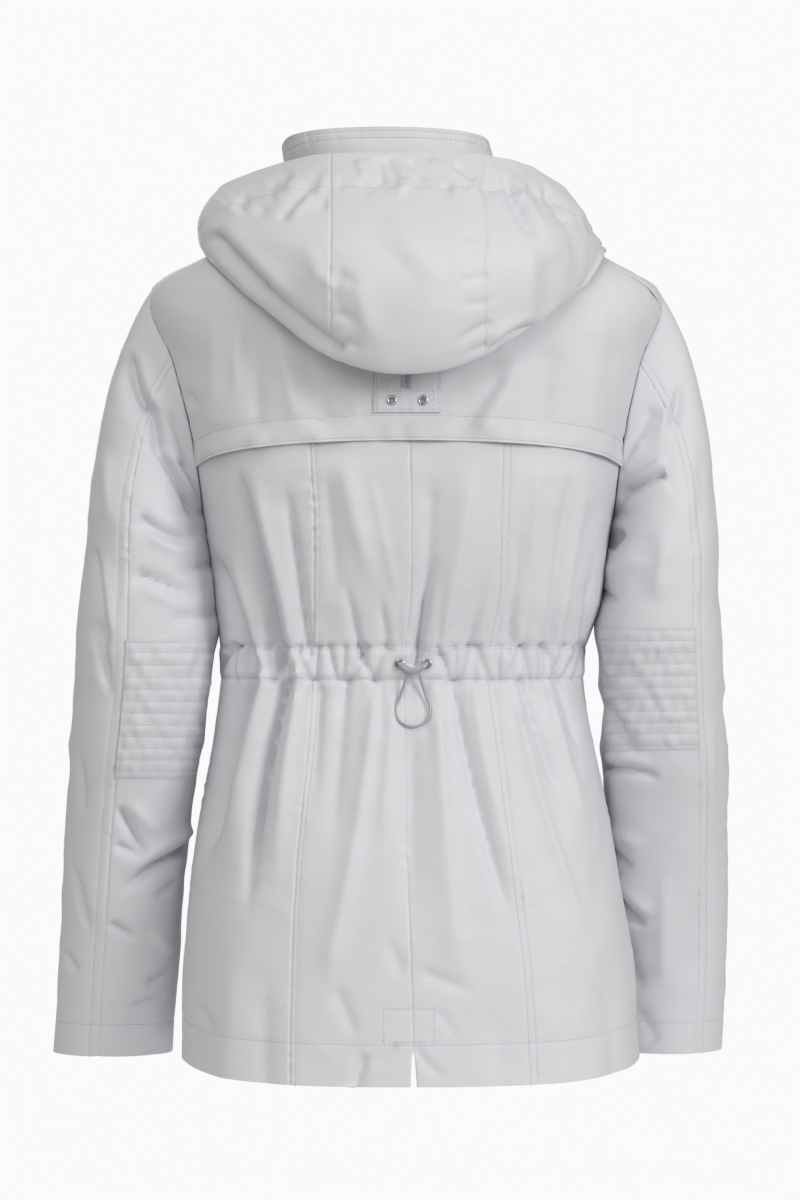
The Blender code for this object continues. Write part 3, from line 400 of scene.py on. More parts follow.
def table_at(rows, at):
    """A table's columns at any values of its first one, on a smooth curve through the rows."""
    table = np.array(rows, float)
    keys = table[:, 0]
    way = 1.0 if keys[-1] > keys[0] else -1.0
    at = np.asarray(at, float)
    index = np.minimum(np.searchsorted(way * keys[1:], way * at, side="left"), len(keys) - 2)
    before = table[np.maximum(index - 1, 0)]
    low = table[index]
    high = table[index + 1]
    after = table[np.minimum(index + 2, len(keys) - 1)]
    span = high[..., :1] - low[..., :1]
    t = np.clip((at[..., None] - low[..., :1]) / span, 0.0, 1.0)
    slope_low = (high - before) / (high[..., :1] - before[..., :1]) * span
    slope_high = (after - low) / (after[..., :1] - low[..., :1]) * span
    value = ((2 * t ** 3 - 3 * t ** 2 + 1) * low + (t ** 3 - 2 * t ** 2 + t) * slope_low
             + (3 * t ** 2 - 2 * t ** 3) * high + (t ** 3 - t ** 2) * slope_high)
    return np.moveaxis(value, -1, 0)


def on_ring(rows, angle, height):
    """Points on a stack of rings; a ring dips from its sides to its back and its front."""
    _, back_z, front_z, centre_x, half_width, back, front = table_at(rows, height)
    s = np.sin(np.radians(angle))
    c = np.cos(np.radians(angle))
    depth = np.where(c > 0, back, front)
    end_z = np.where(c > 0, back_z, front_z)
    x = centre_x + half_width * s * (1 + SQUARENESS * c * c)
    y = depth * c * (1 + SQUARENESS * s * s)
    z = height + (end_z - height) * (1 - np.abs(s) ** ARCH)
    return np.stack((x, y, z), -1)


def unit(vectors):
    """The same directions, one unit long."""
    return vectors / np.maximum(np.linalg.norm(vectors, axis=-1, keepdims=True), 1e-12)


def ring_normal(rows, angle, height):
    """Outward directions, from two short steps round the form and up it."""
    round_it = on_ring(rows, angle + NORMAL_TURN, height) - on_ring(rows, angle - NORMAL_TURN, height)
    up_it = on_ring(rows, angle, height + NORMAL_STEP) - on_ring(rows, angle, height - NORMAL_STEP)
    return unit(np.cross(up_it, round_it))


def armhole(turn):
    """Angle and height on the armhole: turn 0 at the shoulder, 90 at the back, 180 at the underarm."""
    angle = SIDE_SEAM - ARMHOLE_HALF_ANGLE * np.sin(np.radians(turn))
    height = ARMHOLE_HEIGHT + ARMHOLE_HALF_HEIGHT * np.cos(np.radians(turn))
    return angle, height


waist = min((ring for ring in TORSO if ring.height < ARMHOLE_HEIGHT), key=lambda ring: ring.half_width)
for place, ring in (("waist", waist), ("hem", TORSO[-1])):
    print(place, round(2 * ring.half_width / MM), "mm wide")

# %% [markdown]
# ## Folds
#
# Coated cloth hangs in long soft folds that start where it is held: at the drawn-in waist, the armholes and
# the elbows. A simulation would put them anywhere, and these have to lie where the real ones lie, so each is
# given as a soft ridge, or with a negative depth a trough, between two places seen square from
# behind. Its cross-section has a small dip on both sides, as a real fold has. A row gives the two ends, the
# bow, the width at each end and the depth; then its lean, and the share that fades at each end. Rows of folds
# that the photo shows give their places, bows and widths in its pixels, all others in millimetres. A depth is
# always in millimetres, and some tables make theirs deeper.

# %% Folds of the back
Fold = namedtuple("Fold", "x0 z0 x1 z1 bow width0 width1 depth lean fade0 fade1")
PhotoFold = namedtuple("PhotoFold", "px0 py0 px1 py1 bow width0 width1 depth lean fade0 fade1")
PHOTO_HEIGHT = 1200
# the column of pixels in which the jacket's middle is seen
JACKET_COLUMN = 405
# pixels; a finer fold would fall between the rows of a panel
FINEST_FOLD = 5.2
CREST_FALL = 1.6
CREST_ROUND = 0.4
CREST_DIP = 0.25
NO_FADE = 0.001


def as_folds(*rows):
    """The rows of a table as folds with named sizes."""
    return tuple(Fold(*row) for row in rows)


def from_photo(*rows, nearer, deeper=1.0):
    """Folds in whole millimetres from rows in pixels, on cloth so many metres nearer to the camera."""
    pixel = FRAME_HEIGHT / PHOTO_HEIGHT / MM * (1 - nearer / CAMERA_DISTANCE)
    middle = CAMERA_TARGET.z / MM
    folds = []
    for seen in (PhotoFold(*row) for row in rows):
        x0, x1 = (round((JACKET_COLUMN - px) * pixel) for px in (seen.px0, seen.px1))
        z0, z1 = (round(middle + (PHOTO_HEIGHT / 2 - py) * pixel) for py in (seen.py0, seen.py1))
        width0, width1 = (round(max(width, FINEST_FOLD) * pixel) for width in (seen.width0, seen.width1))
        folds.append(Fold(x0, z0, x1, z1, round(seen.bow * pixel), width0, width1,
                          round(seen.depth * deeper, 1), seen.lean, seen.fade0, seen.fade1))
    return tuple(folds)


UPPER_BACK_FOLDS = from_photo(
    (230, 456, 282, 680, -3, 6, 7, -15.0, 0.2, 0.3, 0.04),
    (246, 458, 298, 682, -3, 11, 9, 5.5, 0, 0.3, 0.04),
    (206, 545, 250, 680, 0, 8, 8, -15.0, 0, 0.4, 0.04),
    (224, 530, 264, 684, 0, 10, 8, 5.0, 0, 0.4, 0.04),
    (280, 470, 307, 660, 0, 7, 5, -6.0, 0, 0.4, 0.02),
    (322, 462, 336, 600, 0, 10, 9, -2.5, 0, 0.3, 0.3),
    (338, 450, 376, 600, 2, 16, 13, 5.0, 0, 0.2, 0.5),
    (341, 575, 361, 660, 0, 6, 4, -4.5, 0, 0.5, 0.03),
    (376, 590, 386, 655, 0, 5, 4, -3.5, 0, 0.5, 0.03),
    (366, 465, 398, 610, 0, 5, 5, 1.5, 0, 0.3, 0.3),
    (428, 470, 426, 600, 0, 13, 8, -4.0, 0, 0.25, 0.3),
    (428, 556, 415, 668, 0, 6, 4, -9.0, 0.2, 0.5, 0.02),
    (470, 450, 436, 655, -4, 18, 11, 6.0, 0.2, 0.25, 0.03),
    (487, 560, 466, 655, 0, 9, 6, -2.5, 0, 0.4, 0.03),
    (521, 500, 507, 660, 0, 7, 5, -3.5, 0, 0.4, 0.03),
    (537, 455, 528, 600, 0, 6, 5, 2.2, 0, 0.3, 0.4),
    (574, 452, 545, 662, 0, 7, 5, -4.0, 0, 0.3, 0.03),
    (592, 456, 556, 655, 0, 7, 6, 2.6, 0, 0.3, 0.1),
    (600, 540, 584, 655, 0, 7, 5, -3.0, 0, 0.4, 0.05),
    nearer=0.115,
)
LOWER_BACK_FOLDS = from_photo(
    (249, 673, 194, 890, 4, 7, 10, -14.0, 0, 0.05, 0.4),
    (264, 670, 220, 890, 4, 9, 16, 5.5, -0.2, 0.05, 0.5),
    (284, 673, 243, 925, 6, 6, 8, -12.5, 0, 0.05, 0.45),
    (297, 670, 272, 910, 4, 7, 13, 4.5, 0, 0.05, 0.5),
    (318, 684, 308, 830, 0, 6, 10, -3.0, 0, 0.05, 0.5),
    (345, 672, 326, 870, 0, 7, 15, -3.5, 0, 0.05, 0.5),
    (374, 684, 322, 985, -6, 7, 15, 4.5, 0.2, 0.1, 0.12),
    (392, 690, 378, 880, 0, 7, 14, 2.5, 0, 0.1, 0.5),
    (410, 715, 408, 950, 0, 11, 20, -4.0, 0, 0.2, 0.4),
    (436, 700, 458, 985, 3, 9, 20, 5.0, 0.2, 0.12, 0.2),
    (449, 676, 512, 930, 5, 6, 9, -5.0, 0, 0.04, 0.25),
    (470, 684, 520, 900, 5, 8, 12, 3.2, 0, 0.05, 0.4),
    (519, 676, 566, 815, 0, 5, 7, -5.0, 0, 0.04, 0.4),
    (512, 690, 592, 950, 5, 5, 8, 3.0, 0.2, 0.1, 0.3),
    (546, 680, 590, 840, 0, 5, 7, 3.0, 0, 0.05, 0.4),
    (560, 680, 584, 760, 0, 4, 5, -4.0, 0, 0.05, 0.4),
    (332, 984, 356, 1042, 0, 9, 9, -2.5, 0, 0.2, 0.3),
    (416, 970, 474, 992, 0, 7, 9, -2.5, 0, 0.2, 0.4),
    (384, 930, 402, 985, 0, 7, 7, -2.0, 0, 0.4, 0.3),
    (236, 930, 222, 1090, 0, 22, 20, 3.0, 0, 0.5, 0.0),
    (262, 960, 262, 1090, 0, 14, 14, -2.5, 0, 0.5, 0.0),
    (492, 1000, 500, 1090, 0, 18, 18, -2.5, 0, 0.5, 0.0),
    (552, 980, 560, 1090, 0, 20, 18, 2.5, 0, 0.5, 0.0),
    (606, 940, 618, 1090, 0, 16, 15, -2.5, 0, 0.5, 0.0),
    (192, 1010, 215, 1040, 0, 6, 7, -2.5, 0, 0.2, 0.4),
    (364, 1050, 352, 1085, 0, 6, 6, -2.5, 0, 0.3, 0.0),
    nearer=0.12, deeper=1.1,
)
YOKE_FOLDS = from_photo(
    (244, 300, 256, 440, 0, 16, 14, -5.0, 0, 0.3, 0.3),
    (270, 310, 300, 440, 0, 14, 14, 4.5, 0, 0.3, 0.3),
    (236, 318, 232, 400, 0, 9, 9, 3.0, 0, 0.3, 0.4),
    (300, 340, 330, 446, 0, 12, 12, -3.0, 0, 0.3, 0.3),
    (360, 366, 350, 446, 0, 14, 12, 2.0, 0, 0.2, 0.2),
    (505, 372, 452, 438, 0, 9, 12, -3.5, 0, 0.2, 0.3),
    (520, 350, 474, 440, 0, 14, 12, 3.5, 0, 0.2, 0.2),
    (548, 340, 540, 440, 0, 16, 14, -2.5, 0, 0.2, 0.2),
    (602, 290, 588, 446, 0, 18, 16, 2.5, 0, 0.3, 0.2),
    (214, 290, 206, 440, 0, 14, 14, 2.0, 0, 0.3, 0.2),
    (180, 394, 196, 402, 0, 5, 5, -3.0, 0, 0.1, 0.5),
    nearer=0.115,
)
VENT_FOLDS = as_folds(
    (19, -651, -22, -651, 0, 2, 2, -0.7, 0, 0.05, 0.05),
    (8, -679, 30, -699, 0, 3, 5, -2.2, 0, 0.1, 0.5),
    (-6, -680, -34, -708, 3, 3, 5, -2.6, 0, 0.1, 0.4),
    (38, -678, 40, -714, 0, 5, 7, -2.0, 0, 0.3, 0),
    (-20, -650, -42, -682, -3, 4, 5, -1.8, 0, 0.2, 0.3),
)


# %% [markdown]
# A fold's height is greatest along its line and falls off to both sides. Adding up all folds of a table gives
# how far the cloth is moved at any place, so the same rows serve panels that lie side by side.

# %% From rows to heights


def fold_field(x, z, folds):
    """How far a table's folds move the cloth out, in metres, at places across and up the jacket."""
    out = np.zeros_like(x)
    for f in folds:
        dx = (f.x1 - f.x0) * MM
        dz = (f.z1 - f.z0) * MM
        length = math.hypot(dx, dz)
        ax = x - f.x0 * MM
        az = z - f.z0 * MM
        t = (ax * dx + az * dz) / length ** 2
        held = np.clip(t, 0.0, 1.0)
        across = (ax * dz - az * dx) / length + f.bow * MM * 4 * held * (1 - held)
        q = across / (mix(f.width0, f.width1, held) * MM)
        q = q * (1 + f.lean * np.sign(q))
        ends = ease(t / max(f.fade0, NO_FADE)) * ease((1 - t) / max(f.fade1, NO_FADE))
        crest = np.exp(-CREST_FALL * (np.sqrt(q * q + CREST_ROUND ** 2) - CREST_ROUND))
        crest *= 1 - CREST_DIP * q * q
        out += f.depth * MM * ends * crest
    return out


print(len(UPPER_BACK_FOLDS) + len(LOWER_BACK_FOLDS) + len(YOKE_FOLDS), "folds on the back")

# %% [markdown]
# Two more things break up the smooth form. A soft crumple of many waves in all directions, with its ridges
# sharpened, gives the unevenness of thin stiff cloth. Along each seam the sewing draws the cloth up into
# small puckers, which fade a few millimetres away.

# %% Crumple and puckers
BROAD_SIZE = 110 * MM
BROAD_HEIGHT = 0.35 * MM
CREASED_SIZE = 60 * MM
CREASED_HEIGHT = 0.34 * MM
FINE_SIZE = 26 * MM
FINE_HEIGHT = 0.08 * MM
RIDGE_ROUND = 0.02
PUCKER_SIZE = 1.7
PUCKER_PATCHES = 70 * MM


def waves(a, b, seed, size, count=20):
    """A seeded sum of waves in all directions, about one unit high."""
    draw = np.random.RandomState(seed)
    total = np.zeros_like(a)
    for _ in range(count):
        turn = draw.uniform(0, math.tau)
        length = size * math.exp(draw.uniform(-0.5, 0.5))
        phase = draw.uniform(0, math.tau)
        total += np.sin((a * math.cos(turn) + b * math.sin(turn)) * math.tau / length + phase)
    return total / math.sqrt(count / 2)


def ridges(a, b, seed, size):
    """Waves folded up at zero, so that they meet in sharp lines."""
    return np.sqrt(waves(a, b, seed, size) ** 2 + RIDGE_ROUND)


def crumple(points, seed):
    """The unevenness of the cloth, from three sizes of waves."""
    a = points[..., 0] + 0.8 * points[..., 1]
    b = points[..., 2] + 0.3 * points[..., 1]
    return (BROAD_HEIGHT * waves(a, b, seed, BROAD_SIZE)
            - CREASED_HEIGHT * ridges(a, b, seed + 1, CREASED_SIZE)
            - FINE_HEIGHT * ridges(a, b, seed + 2, FINE_SIZE))


def pucker(points, distance, seed, height, reach=5 * MM):
    """Small waves beside a seam, stronger in some places than in others."""
    a = points[..., 0] + 0.7 * points[..., 1]
    uneven = 0.55 + 0.45 * waves(a, points[..., 2], seed + 1, PUCKER_PATCHES)
    return height * uneven * waves(a, points[..., 2], seed, PUCKER_SIZE * reach) * np.exp(-distance / reach)


print("crumple of waves", [round(size / MM) for size in (BROAD_SIZE, CREASED_SIZE, FINE_SIZE)], "mm long")

# %% [markdown]
# The waist casing is where the cord gathers the cloth. Between its two lines of stitching the cloth stands in
# uneven puffs with sharp slanting creases between them, and above and below it small folds run out and fade.
# The creases that can be seen are listed by their place; the small folds are drawn from a fixed seed. Round
# the two eyelets, whose seats are read from the frame, the cloth stays flat.

# %% Waist gathers
CASING_TOP = -0.360
CASING_BOTTOM = -0.386
EYELET_SINK = 0.475 * MM
EYELET_REACH = 4.2 * MM
EYELET_FLAT = 4 * MM
CASING_PUFF = 0.8 * MM
PUFF_FULLNESS = 0.7
CASING_LINE = 3 * MM
FACING_START = 0.05
FACING_RAMP = 0.35
BODY_SEED = 21
WAIST_SEED = 7
WAIST_HALF_WIDTH = 150
SMALL_FOLDS = 70
GATHERS_TOP = -358
GATHERS_FOOT = -388
SPREAD_LENGTH = 500
CREASE_PLACES = (150, 143, 134, 121, 112, 104, 92, 84, 74, 61, 52, 41, 33, 22, -29, -38, -46, -56, -64, -77,
                 -88, -99, -110, -119, -127, -137, -146)


def eyelet_seat(name):
    """Where an eyelet sits on the cloth, and its outward direction: a ring is thinnest along its axis."""
    low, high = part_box(name)
    corners = np.array([corner.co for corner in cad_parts[name].data.vertices])
    axis = np.linalg.svd(corners - corners.mean(axis=0), full_matrices=False)[2][2]
    axis = axis * np.sign(axis[1])
    return np.array((low + high) / 2) - axis * EYELET_SINK, axis


WAIST_EYELETS = [eyelet_seat(f"waist_eyelet_{side}")[0] for side in ("left", "right")]


def waist_folds():
    """Slanting creases across the casing, then small folds that run up and down from it."""
    draw = np.random.RandomState(WAIST_SEED)
    folds = []
    for place in CREASE_PLACES:
        slant = draw.uniform(-9, 9)
        folds.append(Fold(place + slant, GATHERS_TOP + 1, place - slant, GATHERS_FOOT - 1,
                          draw.uniform(-2, 2), draw.uniform(2.5, 4.5), draw.uniform(2.5, 4.5),
                          -draw.uniform(2.8, 5.2), 0.0, 0.05, 0.05))
    for _ in range(SMALL_FOLDS):
        place = draw.uniform(-WAIST_HALF_WIDTH, WAIST_HALF_WIDTH)
        reach = draw.uniform(12, 60)
        folds.append(Fold(place, GATHERS_TOP, place - draw.uniform(-8, 8), GATHERS_TOP + reach, 0,
                          draw.uniform(2.5, 4.0), draw.uniform(4, 7), draw.uniform(-1.8, 1.4), 0.0, 0.02,
                          0.7))
        place = draw.uniform(-WAIST_HALF_WIDTH, WAIST_HALF_WIDTH)
        reach = draw.uniform(12, 70)
        folds.append(Fold(place, GATHERS_FOOT, place * (1 + reach / SPREAD_LENGTH) + draw.uniform(-5, 5),
                          GATHERS_FOOT - reach, 0, draw.uniform(2.5, 4.0), draw.uniform(4, 7),
                          draw.uniform(-1.8, 1.4), 0.0, 0.02, 0.7))
    return folds


WAIST_FOLDS = waist_folds()


def casing_puff(z):
    """The casing stands out between its stitch lines and is drawn in along them."""
    t = (z - CASING_BOTTOM) / (CASING_TOP - CASING_BOTTOM)
    puff = np.where((t > 0) & (t < 1), np.sin(np.pi * np.clip(t, 0, 1)) ** PUFF_FULLNESS, 0.0)
    line = np.exp(-((z - CASING_TOP) / CASING_LINE) ** 2) + np.exp(-((z - CASING_BOTTOM) / CASING_LINE) ** 2)
    return CASING_PUFF * (puff - line)


def body_out(points, normals):
    """All that moves the body's cloth out from its plain form."""
    x, y, z = np.moveaxis(points, -1, 0)
    behind = ease((FACING_START + normals[..., 1]) / FACING_RAMP)
    before = ease((FACING_START - normals[..., 1]) / FACING_RAMP)
    out = behind * fold_field(x, z, UPPER_BACK_FOLDS + LOWER_BACK_FOLDS + VENT_FOLDS)
    out += behind * (fold_field(x, z, WAIST_FOLDS) + casing_puff(z))
    out += before * fold_field(x, z, FRONT_FOLDS)
    flat = np.ones_like(x)
    for seat in WAIST_EYELETS:
        away = np.hypot(x - seat[0], z - seat[2])
        flat = np.minimum(flat, ease((away - EYELET_REACH) / EYELET_FLAT) + (y < 0))
    return out * flat + crumple(points, BODY_SEED)


print("waist eyelets at", [(seat / MM).round(1).tolist() for seat in WAIST_EYELETS])

# %% [markdown]
# The front cannot be seen, so it gets folds of the same kind: long soft ones from the chest to the waist and
# from the waist to the hem, a little different on each side.

# %% Folds of the front
FRONT_FOLDS = as_folds(
    (118, -215, 96, -372, 4, 15, 9, 3.5, 0, 0.4, 0.15),
    (84, -235, 70, -372, 0, 13, 9, -2.5, 0, 0.4, 0.15),
    (48, -240, 52, -372, 0, 14, 9, 3.0, 0, 0.4, 0.15),
    (-52, -235, -44, -372, 0, 14, 9, -2.5, 0, 0.4, 0.15),
    (-80, -225, -72, -372, 0, 15, 10, 3.5, 0, 0.4, 0.15),
    (-122, -215, -104, -372, -4, 14, 9, 3.0, 0, 0.4, 0.15),
    (110, -376, 136, -560, 0, 9, 18, 4.5, 0, 0.1, 0.5),
    (82, -376, 96, -590, 0, 8, 16, -3.5, 0, 0.1, 0.5),
    (52, -376, 62, -620, 0, 10, 20, 4.0, 0, 0.1, 0.5),
    (-48, -376, -56, -610, 0, 10, 20, 4.0, 0, 0.1, 0.5),
    (-78, -376, -94, -580, 0, 8, 16, -3.5, 0, 0.1, 0.5),
    (-108, -376, -138, -570, 0, 9, 18, 4.5, 0, 0.1, 0.5),
    (150, -130, 112, -225, 5, 14, 14, -3.0, 0, 0.3, 0.4),
    (-148, -135, -108, -230, -5, 14, 14, -3.0, 0, 0.3, 0.4),
)
print(len(FRONT_FOLDS), "folds on the front,", len(WAIST_FOLDS), "at the waist")

# %% [markdown]
# ## From a grid of places to a piece of cloth
#
# Every panel becomes a grid of points 2 to 4 mm apart. Its seam edges turn in a little, so that two panels
# meet in a narrow valley, and each line of stitching presses a groove. The lines themselves are kept for the
# stitches, and the outer skins for what lies on them. A Solidify modifier can then give the thin wall,
# inwards, and the UV map is in metres, so that the weave has one size everywhere.

# %% Cloth from a grid
WALL = 1.0 * MM
EDGE_TURN = 0.8 * MM
EDGE_WIDTH = 1.0 * MM
GROOVE = 0.55 * MM
GROOVE_WIDTH = 1.7 * MM
HOLE_RADIUS = 2.9 * MM
STITCH_LIFT = 0.12 * MM
PUCKER_SEED = 31
CLOTH_SHARP = math.radians(55)
BESIDE_SEAM = (0.12, 0.3, 0.6)
stitch_lines = {}
outer_skins = {}


def closer_at_ends(count, first=0.0, last=1.0):
    """Even places with more of them beside both ends, where a seam turns in."""
    beside = np.array(BESIDE_SEAM) / count
    even = np.arange(1, count) / count
    return mix(first, last, np.concatenate(([0.0], beside, even, 1 - beside[::-1], [1.0])))


def lengths_along(points, axis):
    """Distance along each line of the grid from its first edge."""
    step = np.linalg.norm(np.diff(points, axis=axis), axis=-1)
    start = np.zeros_like(np.take(step, [0], axis=axis))
    return np.concatenate((start, np.cumsum(step, axis=axis)), axis=axis)


def edge_distances(points):
    """Distance of each point from the grid's four edges, by name."""
    across = lengths_along(points, 1)
    along = lengths_along(points, 0)
    return {"u0": across, "u1": across[:, -1:] - across, "v0": along, "v1": along[-1:] - along}


def nearest_edge(edges):
    """Distance of each point from the nearest of the four edges."""
    return np.minimum.reduce(list(edges.values()))


def line_on(points, normals, distance, edge, at):
    """The points at one distance from an edge, lifted a little off the cloth."""
    lifted = points + normals * STITCH_LIFT
    if edge[0] == "v":
        lifted = lifted.swapaxes(0, 1)
        distance = distance.T
    found = []
    for run, place in zip(distance, lifted):
        if run.max() >= at:
            order = np.argsort(run)
            found.append([np.interp(at, run[order], place[order, c]) for c in range(3)])
    return found


# %% [markdown]
# The shaped grid becomes a mesh with four-cornered faces, without those that lie in an eyelet's hole. What
# the Solidify modifier makes of it is kept as a plain mesh. Then the piece is set to ride on the body, the
# CAD piece that it stands for is hidden, and its UV map gives the flat size that it would be cut to.

# %% From a grid to a piece


def grid_faces(shaped, normals, holes):
    """The faces of a grid, without those in a hole, all looking outwards."""
    rows, columns = shaped.shape[:2]
    corner = np.arange(rows * columns).reshape(rows, columns)
    faces = np.stack((corner[:-1, :-1], corner[:-1, 1:], corner[1:, 1:], corner[1:, :-1]), -1).reshape(-1, 4)
    flat = shaped.reshape(-1, 3)
    for hole in holes:
        centre = flat[faces].mean(axis=1)
        faces = faces[np.hypot(centre[:, 0] - hole[0], centre[:, 2] - hole[2]) > HOLE_RADIUS]
    middle = faces[len(faces) // 2]
    a, b, c, _ = flat[middle]
    if np.dot(np.cross(b - a, c - a), normals.reshape(-1, 3)[middle[0]]) < 0:
        faces = faces[:, ::-1]
    return faces


def baked(made):
    """Keeps what an object's modifiers make of it as a plain smooth mesh, and removes them."""
    bpy.context.view_layer.update()
    made.data = bpy.data.meshes.new_from_object(made.evaluated_get(bpy.context.evaluated_depsgraph_get()))
    made.modifiers.clear()
    made.data.shade_smooth()
    return made


def walled(name, flat, faces, uv, wall, material):
    """A mesh with its cut as a UV map, made a thin wall."""
    mesh = bpy.data.meshes.new(name)
    mesh.from_pydata(flat.tolist(), [], faces.tolist())
    layer = mesh.uv_layers.new(name="cut")
    layer.data.foreach_set("uv", uv[faces.reshape(-1)].astype(np.float32).reshape(-1))
    mesh.materials.append(material)
    made = placed(name, mesh)
    thick = made.modifiers.new("wall", "SOLIDIFY")
    thick.thickness = wall
    thick.offset = -1.0
    thick.use_even_offset = False
    baked(made).data.set_sharp_from_angle(angle=CLOTH_SHARP)
    return made


def cloth(name, points, normals, out, seams=(), lines=(), group="body", wall=WALL, material=coated_cloth,
          puckered=0.3 * MM, reach=5 * MM, holes=()):
    """A piece of cloth from a grid of points, its outward directions and how far it moves out."""
    distance = edge_distances(points)
    out = out.copy()
    for edge in seams:
        out -= EDGE_TURN * np.exp(-(distance[edge] / EDGE_WIDTH) ** 2)
        out += pucker(points, distance[edge], PUCKER_SEED, puckered, reach)
    for edge, at in lines:
        out -= GROOVE * np.exp(-((distance[edge] - at) / GROOVE_WIDTH) ** 2)
    shaped = points + normals * out[..., None]
    for edge, at in lines:
        stitch_lines.setdefault(group, []).append(line_on(shaped, normals, distance[edge], edge, at))
    flat = shaped.reshape(-1, 3)
    faces = grid_faces(shaped, normals, holes)
    outer_skins[name] = (flat, faces)
    uv = np.stack((distance["u0"], distance["v0"]), -1).reshape(-1, 2)
    made = walled(name, flat, faces, uv, wall, material)
    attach(made, BODY)
    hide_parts(name.replace("_cloth", ""))


# %% [markdown]
# ## Back panels
#
# The back is cut in four: two centre panels and two side panels, joined by a centre seam and two curved seams
# that shape the waist. Each is sewn in under the yoke's flap at the top, and ends in a turned-up hem. At the
# foot of the centre seam a short vent is left open.

# %% Back panels
FLAP_HEM_MIDDLE = -0.192
FLAP_HEM_TURN = 126.0
FLAP_STITCH_MIDDLE = -0.172
FLAP_STITCH_TURN = 108.0
FLAP_COVER = 2.6 * MM
VENT_TOP = -0.678
VENT_OPEN = 2.4 * MM
UNDERARM = ARMHOLE_HEIGHT - ARMHOLE_HALF_HEIGHT
UNDERARM_TURN = 180.0
HEM_DEPTH = 34 * MM
HEM_RADIUS = 0.22
SEAM_STITCH = 5 * MM
BACK_STEP = 2.3 * MM
CENTRE_COLUMNS = 36
SIDE_COLUMNS = 62
FOLDS_FROM = 0.02
FOLDS_RAMP = 0.12
ARMHOLE_STEPS = 121
ARMHOLE_FADE = 22 * MM
ARMHOLE_MOVE = 0.05
SIDES = {"left": 1, "right": -1}

PrincessRow = namedtuple("PrincessRow", "height angle")
PRINCESS = (PrincessRow(-0.165, 23.0), PrincessRow(-0.373, 26.0), PrincessRow(HEM, 28.0))
BackRow = namedtuple("BackRow", "v centre princess side_turn side_height")
BACK_ROWS = (
    BackRow(0 / 18, FLAP_STITCH_MIDDLE, FLAP_STITCH_MIDDLE - 0.001, FLAP_STITCH_TURN, UNDERARM),
    BackRow(1 / 18, FLAP_HEM_MIDDLE - 0.002, FLAP_HEM_MIDDLE - 0.004, FLAP_HEM_TURN, UNDERARM),
    BackRow(2 / 18, FLAP_HEM_MIDDLE - 0.024, FLAP_HEM_MIDDLE - 0.026, 144.0, UNDERARM),
    BackRow(4 / 18, UNDERARM - 0.014, UNDERARM - 0.014, UNDERARM_TURN, UNDERARM),
    BackRow(8 / 18, CASING_TOP, CASING_TOP, UNDERARM_TURN, CASING_TOP),
    BackRow(10 / 18, CASING_BOTTOM, CASING_BOTTOM, UNDERARM_TURN, CASING_BOTTOM),
    BackRow(1.0, HEM, HEM, UNDERARM_TURN, HEM),
)
BACK_TABLE = np.array(BACK_ROWS, float)


def back_column(name, v):
    """One column of the table of rows, at places down the panels."""
    return np.interp(v, BACK_TABLE[:, 0], BACK_TABLE[:, BackRow._fields.index(name)])


def centre_edge(v):
    """The centre seam, which parts at the vent."""
    height = back_column("centre", v)
    opening = VENT_OPEN * np.sqrt(np.clip((VENT_TOP - height) / (VENT_TOP - HEM), 0.0, 1.0))
    return np.degrees(opening / HEM_RADIUS), height


def princess_edge(v):
    """The curved seam between a centre panel and a side panel."""
    height = back_column("princess", v)
    return table_at(PRINCESS, height)[1], height


def side_edge(v):
    """Down the back of the armhole, then down the side seam."""
    angle, height = armhole(back_column("side_turn", v))
    below = v >= BACK_ROWS[3].v
    return np.where(below, SIDE_SEAM, angle), np.where(below, back_column("side_height", v), height)


def row_places():
    """Values of v for rows that are evenly spaced down the centre seam."""
    places = []
    for low, high in zip(BACK_ROWS, BACK_ROWS[1:]):
        count = max(int(round((low.centre - high.centre) / BACK_STEP)), 2)
        places.append(np.linspace(low.v, high.v, count, endpoint=False))
    return np.concatenate((*places, [1.0]))


def body_grid(first, last, v, columns, sign):
    """A grid of places on the body between two edges, with its outward directions."""
    u = closer_at_ends(columns)[None, :]
    angle_a, height_a = first(v)
    angle_b, height_b = last(v)
    angle = mix(angle_a[:, None], angle_b[:, None], u) * sign
    height = mix(height_a[:, None], height_b[:, None], u)
    return on_ring(TORSO, angle, height), ring_normal(TORSO, angle, height)


def armhole_fade(points, out, side):
    """Near the armhole the cloth keeps to its form, so that body and sleeve meet."""
    angle, height = armhole(np.linspace(0, 360, ARMHOLE_STEPS))
    rim = on_ring(TORSO, angle * SIDES[side], height)
    nearest = np.full(points.shape[:2], 1.0)
    for place in rim:
        nearest = np.minimum(nearest, np.linalg.norm(points - place, axis=-1))
    return out * mix(ARMHOLE_MOVE, 1.0, ease(nearest / ARMHOLE_FADE))


print(len(BACK_ROWS), "levels from the flap to the hem")

# %% [markdown]
# A panel is a grid between two of these edges. Its folds fade out towards the yoke seam, and its top lies a
# little lower, so that the flap can hang over it.

# %% Back cloth
back_v = row_places()
below_flap = ease((back_v - BACK_ROWS[1].v) / (BACK_ROWS[2].v - BACK_ROWS[1].v))[:, None]
below_seam = ease((back_v - FOLDS_FROM) / FOLDS_RAMP)[:, None]


def back_out(points, normals):
    """Folds fade out towards the yoke seam, and the top of each panel lies lower, under the flap."""
    return body_out(points, normals) * below_seam - FLAP_COVER * (1.0 - below_flap)


